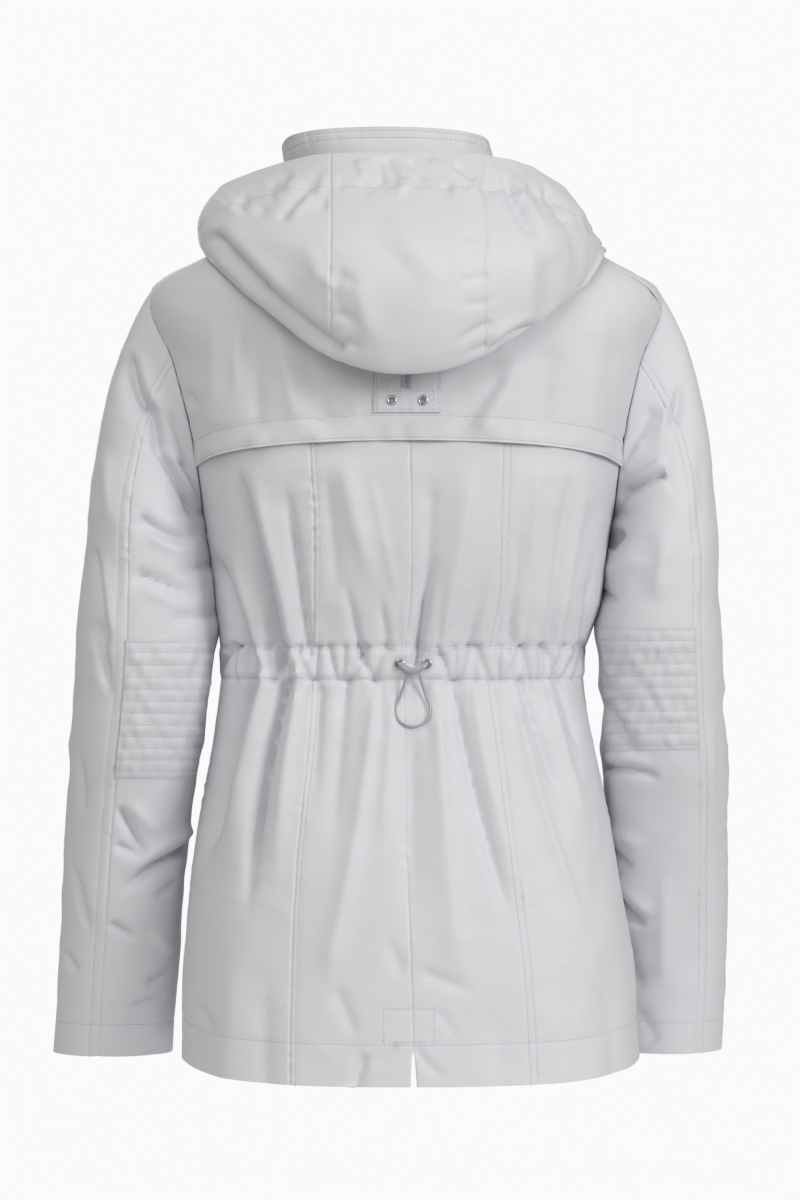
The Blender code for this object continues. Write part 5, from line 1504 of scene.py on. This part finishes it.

# %% [markdown]
# Folds that cannot be seen from behind are drawn from a fixed seed: slanting ones on the outside and front of
# each sleeve, closest together at the elbow. Those that can be seen are listed one by one, as on the back.

# %% Folds of the sleeves
SLEEVE_FOLDS = {
    "left": from_photo(
        (128, 348, 150, 416, 5, 8, 8, -8.5, 0.3, 0.25, 0.15),
        (149, 402, 161, 460, -1, 8, 7, -7.5, 0, 0.2, 0.25),
        (142, 346, 166, 420, 5, 9, 9, 3.5, 0, 0.3, 0.3),
        (158, 448, 196, 520, -3, 4, 4, -6.0, 0, 0.2, 0.2),
        (166, 446, 200, 505, 0, 7, 7, 3.5, 0, 0.3, 0.3),
        (168, 410, 196, 474, 0, 5, 5, -5.5, 0, 0.25, 0.2),
        (176, 460, 200, 478, 0, 5, 5, -4.0, 0, 0.4, 0.1),
        (140, 515, 194, 543, 4, 7, 8, -5.5, 0.3, 0.15, 0.35),
        (146, 530, 190, 556, 4, 7, 8, 3.5, 0, 0.3, 0.35),
        (172, 575, 212, 561, 0, 6, 6, -3.0, 0, 0.3, 0.2),
        (130, 574, 194, 601, -5, 8, 9, -5.5, 0.2, 0.2, 0.3),
        (140, 588, 188, 612, -4, 7, 8, 3.5, 0, 0.3, 0.3),
        (168, 621, 210, 613, 0, 6, 6, -3.0, 0, 0.35, 0.1),
        (91, 540, 108, 650, 0, 5, 6, -5.5, 0, 0.3, 0.2),
        (100, 540, 118, 650, 0, 8, 8, 3.0, 0, 0.35, 0.35),
        (95, 615, 113, 700, 0, 6, 4, -5.5, 0, 0.2, 0.35),
        (104, 440, 110, 530, 0, 8, 8, 2.5, 0, 0.4, 0.4),
        (78, 745, 83, 820, 0, 5, 5, -3.0, 0, 0.4, 0.4),
        (117, 803, 145, 860, 0, 5, 4, -5.0, 0, 0.2, 0.3),
        (112, 844, 144, 858, 0, 4, 3, -3.5, 0, 0.2, 0.3),
        (128, 800, 160, 838, 0, 9, 9, 3.0, 0, 0.3, 0.4),
        (115, 899, 204, 846, -8, 5, 6, -8.0, 0, 0.45, 0.1),
        (118, 884, 200, 830, -8, 9, 9, 3.5, 0, 0.4, 0.15),
        (150, 902, 176, 880, 0, 6, 6, -3.0, 0, 0.4, 0.3),
        (104, 924, 138, 942, 0, 4, 5, -4.5, 0, 0.2, 0.4),
        (68, 858, 86, 938, 0, 5, 5, -3.5, 0, 0.4, 0.3),
        (55, 955, 74, 980, 0, 4, 4, -3.5, 0, 0.3, 0.3),
        (138, 992, 168, 974, 0, 6, 6, -3.5, 0, 0.4, 0.3),
        (122, 1013, 164, 1000, 0, 5, 6, -3.5, 0, 0.4, 0.3),
        (146, 930, 172, 960, 0, 9, 9, 2.5, 0, 0.4, 0.3),
        nearer=0.03, deeper=1.25,
    ),
    "right": from_photo(
        (676, 378, 664, 440, -3, 6, 6, -5.5, 0, 0.4, 0.4),
        (664, 384, 650, 448, -3, 7, 6, 3.0, 0, 0.35, 0.3),
        (650, 406, 619, 462, 0, 9, 5, -6.5, 0, 0.2, 0.05),
        (661, 459, 622, 488, 0, 6, 6, 5.0, 0, 0.15, 0.1),
        (640, 440, 618, 472, 0, 6, 6, 3.0, 0, 0.3, 0.1),
        (662, 476, 617, 499, 3, 4, 5, -7.5, 0, 0.1, 0.05),
        (664, 486, 620, 512, 3, 8, 8, 4.0, 0, 0.15, 0.2),
        (611, 549, 624, 528, 0, 7, 6, -9.0, 0, 0.02, 0.4),
        (608, 572, 650, 560, 0, 10, 10, 3.0, 0, 0.1, 0.4),
        (608, 590, 622, 606, 0, 5, 5, -5.0, 0, 0.05, 0.4),
        (660, 520, 650, 606, 0, 11, 10, 3.0, 0, 0.4, 0.3),
        (642, 520, 634, 610, 0, 13, 12, -2.0, 0, 0.5, 0.5),
        (700, 430, 696, 560, 0, 11, 12, -2.5, 0, 0.4, 0.4),
        (606, 698, 636, 754, 0, 8, 6, -8.0, 0, 0.1, 0.15),
        (622, 700, 650, 745, 0, 7, 7, 3.0, 0, 0.3, 0.3),
        (604, 768, 660, 779, -3, 6, 5, -6.0, 0, 0.05, 0.25),
        (606, 756, 650, 764, -3, 7, 7, 3.5, 0, 0.1, 0.3),
        (610, 848, 637, 872, 0, 5, 4, -5.0, 0, 0.1, 0.3),
        (612, 830, 648, 850, 0, 9, 9, 3.0, 0, 0.1, 0.4),
        (612, 886, 652, 932, 3, 7, 4, -7.5, 0, 0.05, 0.25),
        (620, 878, 660, 920, 3, 8, 8, 3.5, 0, 0.1, 0.3),
        (624, 944, 650, 1004, 0, 11, 9, -5.0, 0, 0.15, 0.4),
        (666, 860, 668, 1004, 0, 11, 11, 3.5, 0, 0.35, 0.3),
        (640, 1012, 662, 1050, 0, 9, 9, -3.0, 0, 0.3, 0.05),
        (708, 700, 712, 860, 0, 10, 11, 2.5, 0, 0.4, 0.4),
        (706, 880, 690, 1000, 0, 11, 12, -3.0, 0, 0.4, 0.4),
        nearer=0.0,
    ),
}
HIDDEN_SEED = {"left": 71, "right": 72}
HIDDEN_FOLDS = 20
HIDDEN_HEIGHTS = (-430, -400, -460, -340, -560, -620)
SLEEVE_SEED = {"left": 81, "right": 84}


def hidden_sleeve_folds(seed):
    """Folds by their place from front to back instead of across."""
    draw = np.random.RandomState(seed)
    folds = []
    for _ in range(HIDDEN_FOLDS):
        z = draw.choice(HIDDEN_HEIGHTS) + draw.uniform(-35, 35)
        y = draw.uniform(-60, 30)
        folds.append(Fold(y, z, y + draw.uniform(35, 60), z + draw.uniform(-28, 28), draw.uniform(-4, 4),
                          draw.uniform(9, 14), draw.uniform(9, 14), draw.uniform(-2.8, 2.2), 0.0, 0.4, 0.4))
    return folds


print({side: len(folds) for side, folds in SLEEVE_FOLDS.items()}, "folds on the sleeves, by hand")

# %% [markdown]
# Under the arm the sleeve lies against the body, so it swells towards it there, and what would go into the
# body is moved off it again. At the armhole the cloth keeps to its form, so that it meets the body, and under
# the elbow patch its folds are weaker, because the patch stiffens it.

# %% Sleeve cloth
PRESS_OUT = 7.0 * MM
PRESS_TOP = -0.247
PRESS_FOOT = -0.372
PRESS_TURN = 174.0
PRESS_SPREAD = 38.0
CORNER_OUT = 4.0 * MM
CORNER_TURN = 138.0
CORNER_SPREAD = 26.0
BODY_CLEAR = 0.4 * MM
CLEAR_FROM = -0.205
CLEAR_RAMP = 20 * MM
PRESS_TOP_RAMP = 9 * MM
PRESS_FOOT_RAMP = 36 * MM
ARMHOLE_SHARE = 0.09
PATCH_MARGIN = 0.03
PATCH_FRONT = 185.0
UNDER_PATCH = 0.5
UPPER_COLUMNS = 68
UNDER_COLUMNS = 56
CROWDING = 0.35
BACK_SEAM_STITCH = 8 * MM


def round_bump(turn, middle, spread):
    """One at a turn round the arm, falling to nothing on both sides of it."""
    away = (turn - middle + 180) % 360 - 180
    return np.exp(-(away / spread) ** 2)


def pressed(points, turn, along):
    """The sleeve lies against the body below the armhole, and is a little square behind its inside."""
    z = points[..., 2]
    beside = ease((PRESS_TOP - z) / PRESS_TOP_RAMP) * ease((z - PRESS_FOOT) / PRESS_FOOT_RAMP)
    corner = ease((along - 0.1) / 0.2) * ease((1.0 - along) / 0.1)
    return (PRESS_OUT * beside * round_bump(turn, PRESS_TURN, PRESS_SPREAD)
            + CORNER_OUT * corner * round_bump(turn, CORNER_TURN, CORNER_SPREAD))


def sleeve_out(side, points, normals, turn, along):
    """All that moves a sleeve's cloth out from its plain form."""
    x, y, z = np.moveaxis(points, -1, 0)
    behind = ease((normals[..., 1] + 0.1) / 0.4)
    out = behind * fold_field(x, z, SLEEVE_FOLDS[side])
    out += (1 - behind) * fold_field(y, z, hidden_sleeve_folds(HIDDEN_SEED[side]))
    out += crumple(points, SLEEVE_SEED[side])
    covered = (ease((along - PATCH_FIRST + PATCH_MARGIN) / PATCH_MARGIN)
               * ease((PATCH_LAST + PATCH_MARGIN - along) / PATCH_MARGIN))
    patched = covered * ease((turn - sleeve_seam(side, along) + 8) / 8) * ease((PATCH_FRONT - turn) / 15)
    out *= 1 - UNDER_PATCH * patched
    return out * ease(along / ARMHOLE_SHARE) + pressed(points, turn, along)


for side in SIDES:
    seam = sleeve_seam(side, sleeve_v)[:, None]
    turn, along, points, normals = sleeve_grid(side, SLEEVE_FRONT_SEAM - 360.0, seam, UPPER_COLUMNS, CROWDING)
    cloth(f"sleeve_upper_{side}_cloth", points, normals, sleeve_out(side, points, normals, turn, along),
          seams=("u0", "u1", "v0"), lines=(("u1", BACK_SEAM_STITCH), ("v1", CUFF_HEM)), group="sleeves")
    turn, along, points, normals = sleeve_grid(side, seam, SLEEVE_FRONT_SEAM, UNDER_COLUMNS, -CROWDING)
    out = sleeve_out(side, points, normals, turn, along)
    shaped = points + normals * out[..., None]
    beside = surface_of((f"back_side_{side}_cloth", f"front_{side}_cloth"))
    cleared = kept_clear(shaped, beside, np.full(along.shape, BODY_CLEAR))
    out += ((cleared - shaped) * normals).sum(axis=-1) * ease((CLEAR_FROM - points[..., 2]) / CLEAR_RAMP)
    cloth(f"sleeve_under_{side}_cloth", points, normals, out, seams=("u0", "u1", "v0"),
          lines=(("v1", CUFF_HEM),), group="sleeves")

# %% [markdown]
# ## Elbow patches
#
# A quilted patch lies on the back of each elbow, sewn down in level lines 10 mm apart. The cloth swells a
# little between the lines, and the lines pucker where the arm bends.

# %% Elbow patches
QUILT = 10 * MM
PATCH_OUT = 1.3 * MM
PATCH_SHARE = 0.5
QUILT_SWELL = 0.45 * MM
QUILT_FULLNESS = 0.4
QUILT_BUMPS = 0.4 * MM
QUILT_BUMP_SIZE = 11 * MM
QUILT_SEED = 91
PATCH_WALL = 0.7 * MM
PATCH_RIM = 4 * MM
PATCH_RIM_SHARE = 0.9
PATCH_STITCH = 1.5 * MM
PATCH_ROWS = 60
PATCH_COLUMNS = 40

for side in SIDES:
    rows = np.linspace(PATCH_FIRST, PATCH_LAST, PATCH_ROWS)[:, None]
    along = np.broadcast_to(rows, (PATCH_ROWS, PATCH_COLUMNS))
    across = PATCH_SHARE * np.linspace(0.0, 1.0, PATCH_COLUMNS)[None, :]
    turn = mix(sleeve_seam(side, rows), SLEEVE_FRONT_SEAM, across)
    points = sleeve_form(side, turn, along)
    normals = sleeve_normal(side, turn, along)
    edges = edge_distances(points)
    level = edges["v0"]
    swell = np.abs(np.sin(np.pi * level / QUILT)) ** QUILT_FULLNESS
    bumps = waves(points[..., 0], 0.4 * level, QUILT_SEED, QUILT_BUMP_SIZE)
    out = PATCH_OUT + QUILT_SWELL * swell * (1 + 0.4 * bumps) + QUILT_BUMPS * bumps
    out = mix(PATCH_OUT * PATCH_RIM_SHARE, out, ease(nearest_edge(edges) / PATCH_RIM))
    out += sleeve_out(side, points, normals, turn, along)
    quilted = [("v0", QUILT * k) for k in range(1, int(level[-1].min() / QUILT) + 1)]
    cloth(f"elbow_patch_{side}_cloth", points, normals, out, group="sleeves", material=patch_cloth,
          lines=[("v0", PATCH_STITCH), *quilted, ("v1", PATCH_STITCH)], wall=PATCH_WALL)

# %% [markdown]
# ## Waist casing
#
# A strip of the same cloth is sewn over the waist from side seam to side seam, as the tunnel for the cord. It
# follows the gathers of the panels beneath it.

# %% Waist casing
CASING_OUT = 1.1 * MM
CASING_WALL = 0.8 * MM
CASING_EDGE = 0.35
CASING_RIM = 3 * MM
CASING_STITCH = 1.5 * MM
CASING_ROWS = 14
CASING_COLUMNS = 241

angle, height = np.broadcast_arrays(np.linspace(-SIDE_SEAM, SIDE_SEAM, CASING_COLUMNS)[None, :],
                                    np.linspace(CASING_TOP, CASING_BOTTOM, CASING_ROWS)[:, None])
points = on_ring(TORSO, angle, height)
normals = ring_normal(TORSO, angle, height)
edges = edge_distances(points)
rim = ease(np.minimum(edges["v0"], edges["v1"]) / CASING_RIM)
out = body_out(points, normals) + CASING_OUT * mix(CASING_EDGE, 1.0, rim)
cloth("waist_casing_cloth", points, normals, out, lines=(("v0", CASING_STITCH), ("v1", CASING_STITCH)),
      wall=CASING_WALL,
      holes=WAIST_EYELETS)

# %% [markdown]
# ## Tab and short zip on the yoke
#
# Below the hood a flat patch with a short upright zip is sewn to the yoke, for the hood to be taken in. It
# ends in a doubled tab with two eyelets.

# %% Tab and patch
TAB_WIDTH = 54 * MM
TAB_TOP = -0.1495
TAB_BOTTOM = -0.1690
PATCH_TOP = -0.086
YOKE_ZIP_WIDTH = 8 * MM
TAB_GAP = 0.3 * MM
TAB_WALL = 1.8 * MM
TAB_OUT = 2.6 * MM
TAB_EDGE_IN = 0.5 * MM
TAB_RIM = 2 * MM
TAB_UNEVEN = 0.15 * MM
TAB_SEED = 95
TAB_STITCH = 2 * MM
ZIP_PATCH_OUT = 1.4 * MM
ZIP_PATCH_WALL = 0.9 * MM
YOKE_EYELETS = [eyelet_seat(f"yoke_eyelet_{side}")[0] for side in SIDES]


def yoke_patch(width, top, bottom, columns, rows):
    """A grid on the yoke, level and upright, centred on the back."""
    x = np.linspace(-0.5, 0.5, columns)[None, :] * width
    height = np.linspace(top, bottom, rows)[:, None]
    x, height = np.broadcast_arrays(x, height)
    centre = table_at(TORSO, height)[3]
    half = table_at(TORSO, height)[4]
    angle = np.degrees(np.arcsin((x - centre) / (half * (1 + SQUARENESS))))
    return on_ring(TORSO, angle, height), ring_normal(TORSO, angle, height)


points, normals = yoke_patch(TAB_WIDTH, PATCH_TOP, TAB_TOP, columns=25, rows=29)
cloth("yoke_zip_patch_cloth", points, normals, np.full(points.shape[:2], ZIP_PATCH_OUT),
      lines=(("u0", TAB_STITCH), ("u1", TAB_STITCH)), material=patch_cloth, wall=ZIP_PATCH_WALL)
points, normals = yoke_patch(TAB_WIDTH, TAB_TOP + TAB_GAP, TAB_BOTTOM, columns=37, rows=14)
edges = edge_distances(points)
out = TAB_OUT - TAB_EDGE_IN * (1 - ease(nearest_edge(edges) / TAB_RIM))
out += TAB_UNEVEN * waves(points[..., 0], points[..., 2], TAB_SEED, 9 * MM)
cloth("yoke_tab_cloth", points, normals, out, wall=TAB_WALL,
      lines=[(edge, TAB_STITCH) for edge in ("v0", "v1", "u0", "u1")], holes=YOKE_EYELETS)

# %% [markdown]
# ## Stitches
#
# The hems and the topstitched seams show a row of stitches, each one a short rounded thread. They repeat
# along lines, so Geometry Nodes make them: the kept lines become curves, are cut into equal steps, and carry
# one small capsule at each step, turned along the line.

# %% Stitch tree
STITCH_PITCH = 3.2 * MM
STITCH_LENGTH = 2.5 * MM
STITCH_WIDTH = 0.55 * MM


def open_tree(name, sizes):
    """A Geometry Nodes tree with a mesh going in and out, and named sizes."""
    tree = bpy.data.node_groups.new(name, "GeometryNodeTree")
    tree.interface.new_socket("Geometry", in_out="INPUT", socket_type="NodeSocketGeometry")
    for size in sizes:
        tree.interface.new_socket(size, in_out="INPUT", socket_type="NodeSocketFloat")
    tree.interface.new_socket("Geometry", in_out="OUTPUT", socket_type="NodeSocketGeometry")
    return tree, add(tree, "NodeGroupInput").outputs


def close_tree(tree, instances, material):
    """Ends a tree: the copies become one mesh with one material."""
    real = add(tree, "GeometryNodeRealizeInstances", {0: instances})
    coloured = add(tree, "GeometryNodeSetMaterial", {"Geometry": real.outputs[0], "Material": material})
    add(tree, "NodeGroupOutput", {0: coloured.outputs[0]})


def steps_along(tree, size):
    """Equal steps along the edges that go in, as points."""
    curves = add(tree, "GeometryNodeMeshToCurve", {"Mesh": size["Geometry"]})
    return add(tree, "GeometryNodeResampleCurve", {"Curve": curves.outputs[0], "Length": size["Pitch"]},
               mode="LENGTH")


def stitch_tree():
    """A small capsule at each step, turned along the line."""
    tree, size = open_tree("stitches", ("Pitch", "Length", "Width"))
    steps = steps_along(tree, size)
    ball = add(tree, "GeometryNodeMeshUVSphere", {"Segments": 6, "Rings": 4, "Radius": 0.5})
    shape = add(tree, "ShaderNodeCombineXYZ", {"X": size["Length"], "Y": size["Width"], "Z": size["Width"]})
    capsule = add(tree, "GeometryNodeTransform",
                  {"Geometry": ball.outputs["Mesh"], "Scale": shape.outputs[0]})
    tangent = add(tree, "GeometryNodeInputTangent")
    turn = add(tree, "FunctionNodeAlignRotationToVector", {"Vector": tangent.outputs[0]}, axis="X")
    sewn = add(tree, "GeometryNodeInstanceOnPoints",
               {"Points": steps.outputs[0], "Instance": capsule.outputs[0], "Rotation": turn.outputs[0]})
    close_tree(tree, sewn.outputs[0], thread)
    return tree


def lines_mesh(name, lines):
    """An object with only edges, along lists of points."""
    points = []
    pairs = []
    for line in lines:
        pairs += [(len(points) + k, len(points) + k + 1) for k in range(len(line) - 1)]
        points += [tuple(point) for point in line]
    mesh = bpy.data.meshes.new(name)
    mesh.from_pydata(points, pairs, [])
    return placed(name, mesh)


def grown(made, tree, sizes):
    """Runs a tree on an object with the given sizes, and keeps the result as a plain mesh."""
    modifier = made.modifiers.new("grown", "NODES")
    modifier.node_group = tree
    for item in tree.interface.items_tree:
        if item.in_out == "INPUT" and item.name in sizes:
            modifier[item.identifier] = sizes[item.name]
    return baked(made)


sewing = stitch_tree()
print(sewing.name, len(sewing.nodes), "nodes")

# %% [markdown]
# The vent is kept from tearing by a box of stitches round its top, which no panel edge runs along. Its lines
# are given square from behind and dropped onto the panels.

# %% Stitches
RAY_START = 0.5
VENT_BOX = ((19.0, -650.5, -21.5, -650.5), (19.0, -651.0, 19.0, -676.0), (-21.5, -651.0, -21.5, -676.0),
            (10.0, -677.0, -14.0, -677.0))


def dropped(surface, x0, z0, x1, z1, count=24):
    """A straight line in millimetres, dropped from behind onto a surface."""
    found = []
    for t in np.linspace(0.0, 1.0, count):
        above = Vector((mix(x0, x1, t) * MM, RAY_START, mix(z0, z1, t) * MM))
        hit = surface.ray_cast(above, Vector((0.0, -1.0, 0.0)))[0]
        if hit:
            found.append(hit + Vector((0.0, STITCH_LIFT, 0.0)))
    return found


vent_panels = surface_of(("back_centre_left_cloth", "back_centre_right_cloth"))
stitch_lines["vent"] = [dropped(vent_panels, *line) for line in VENT_BOX]
for group, lines in stitch_lines.items():
    made = grown(lines_mesh(f"stitches_{group}", [line for line in lines if len(line) > 1]), sewing,
                 {"Pitch": STITCH_PITCH, "Length": STITCH_LENGTH, "Width": STITCH_WIDTH})
    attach(made, BODY)
    print(made.name, len(made.data.polygons), "faces")

# %% [markdown]
# ## Zips
#
# The CAD model holds each zip's tape and a plain raised strip. The moulded teeth repeat along it, one from
# the left and the next from the right, so a second tree sets a small block at each step and shifts them to
# the two sides in turn.

# %% Zip teeth
TOOTH_PITCH = 1.6 * MM
TEETH_OUT = 0.15 * MM
YOKE_TEETH_OUT = 3.3 * MM
TEETH_SHARP = math.radians(30)
FRONT_TEETH = {"Pitch": TOOTH_PITCH, "Shift": 1.4 * MM, "Width": 2.9 * MM, "Depth": 1.2 * MM,
               "Height": 1.1 * MM}
YOKE_TEETH = {"Pitch": TOOTH_PITCH, "Shift": 1.6 * MM, "Width": 3.6 * MM, "Depth": 1.2 * MM,
              "Height": 1.0 * MM}
ZIP_STEPS = 120
COLLAR_STEPS = 30
ZIP_END = 1 * MM


def teeth_tree():
    """A small block at each step, shifted to one side and the other in turn."""
    tree, size = open_tree("zip_teeth", FRONT_TEETH)
    steps = steps_along(tree, size)
    index = add(tree, "GeometryNodeInputIndex")
    other = add(tree, "ShaderNodeMath", {0: index.outputs[0], 1: 2.0}, operation="MODULO")
    way = add(tree, "ShaderNodeMath", {0: other.outputs[0], 1: 0.5}, operation="SUBTRACT")
    shift = add(tree, "ShaderNodeMath", {0: way.outputs[0], 1: size["Shift"]}, operation="MULTIPLY")
    sideways = add(tree, "ShaderNodeCombineXYZ", {"X": shift.outputs[0]})
    set_out = add(tree, "GeometryNodeSetPosition",
                  {"Geometry": steps.outputs[0], "Offset": sideways.outputs[0]})
    block = add(tree, "ShaderNodeCombineXYZ", {"X": size["Width"], "Y": size["Depth"], "Z": size["Height"]})
    tooth = add(tree, "GeometryNodeMeshCube", {"Size": block.outputs[0]})
    toothed = add(tree, "GeometryNodeInstanceOnPoints",
                  {"Points": set_out.outputs[0], "Instance": tooth.outputs[0]})
    close_tree(tree, toothed.outputs[0], acetal)
    return tree


def front_zip_line():
    """Up the front edge, dropped from the front onto the raised strip that the CAD model has."""
    low = on_ring(TORSO, np.full(ZIP_STEPS, 180.0), np.linspace(HEM + 4 * ZIP_END, 0.0, ZIP_STEPS))
    high = on_ring(COLLAR, np.full(COLLAR_STEPS, 180.0),
                   np.linspace(2 * ZIP_END, COLLAR[-1].height - 3 * ZIP_END, COLLAR_STEPS))
    zip_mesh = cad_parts["front_zip"].data
    strip = BVHTree.FromPolygons([v.co for v in zip_mesh.vertices], [p.vertices for p in zip_mesh.polygons])
    line = []
    for x, _, z in np.concatenate((low, high)):
        hit = strip.ray_cast(Vector((x, -RAY_START, z)), Vector((0.0, 1.0, 0.0)))[0]
        if hit:
            line.append(hit - Vector((0.0, TEETH_OUT, 0.0)))
    return line


teeth = teeth_tree()
front_teeth = grown(lines_mesh("front_zip_teeth", [front_zip_line()]), teeth, FRONT_TEETH)
points, normals = yoke_patch(YOKE_ZIP_WIDTH, PATCH_TOP - ZIP_END, TAB_TOP + ZIP_END, columns=3, rows=40)
yoke_line = points[:, 1] + normals[:, 1] * YOKE_TEETH_OUT
yoke_teeth = grown(lines_mesh("yoke_zip_teeth", [yoke_line]), teeth, YOKE_TEETH)
for made in (front_teeth, yoke_teeth):
    made.data.set_sharp_from_angle(angle=TEETH_SHARP)
    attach(made, BODY)
    print(made.name, len(made.data.polygons), "faces")

# %% [markdown]
# ## Eyelets
#
# Four small turned rings: two hold the cord at the waist, two are in the yoke's tab. Each is a rolled metal
# rim round a hole, so the tree sweeps a small round profile along a circle and sets it on each seat.

# %% Eyelets
EYELET_NODES = [f"{place}_eyelet_{side}" for place in ("waist", "yoke") for side in SIDES]
EYELET_SIZES = {"Radius": 3.25 * MM, "Roll": 1.0 * MM}
ROLL_FLATNESS = 0.75


def eyelet_tree():
    """A rolled ring on each point that goes in, turned to the point's own outward direction."""
    tree, size = open_tree("eyelets", EYELET_SIZES)
    circle = add(tree, "GeometryNodeCurvePrimitiveCircle", {"Resolution": 40, "Radius": size["Radius"]})
    roll = add(tree, "GeometryNodeCurvePrimitiveCircle", {"Resolution": 12, "Radius": size["Roll"]})
    ring = add(tree, "GeometryNodeCurveToMesh",
               {"Curve": circle.outputs[0], "Profile Curve": roll.outputs[0]})
    low = add(tree, "GeometryNodeTransform",
              {"Geometry": ring.outputs[0], "Scale": (1.0, 1.0, ROLL_FLATNESS)})
    up = add(tree, "GeometryNodeInputNamedAttribute", {"Name": "up"}, data_type="FLOAT_VECTOR")
    turn = add(tree, "FunctionNodeAlignRotationToVector", {"Vector": up.outputs[0]}, axis="Z")
    seated = add(tree, "GeometryNodeInstanceOnPoints",
                 {"Points": size["Geometry"], "Instance": low.outputs[0], "Rotation": turn.outputs[0]})
    close_tree(tree, seated.outputs[0], nickel)
    return tree


seats = [eyelet_seat(name) for name in EYELET_NODES]
seat_mesh = bpy.data.meshes.new("eyelets")
seat_mesh.from_pydata([place.tolist() for place, _ in seats], [], [])
ups = seat_mesh.attributes.new("up", "FLOAT_VECTOR", "POINT")
for up, (_, axis) in zip(ups.data, seats):
    up.vector = axis
eyelets = grown(placed("eyelets", seat_mesh), eyelet_tree(), EYELET_SIZES)
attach(eyelets, BODY)
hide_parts(*EYELET_NODES)
print("eyelets", len(eyelets.data.polygons), "faces")

# %% [markdown]
# ## Pieces kept from the CAD model
#
# The zip tapes, the slider and its pull already have their real shapes, so they stay and only get their
# finish.

# %% Kept pieces
KEPT = {"front_zip": tape_cloth, "yoke_zip": tape_cloth, "zip_slider": nickel, "zip_pull": nickel}
for name, material in KEPT.items():
    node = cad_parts[name]
    node.data.materials.clear()
    node.data.materials.append(material)
print("kept", sorted(KEPT))
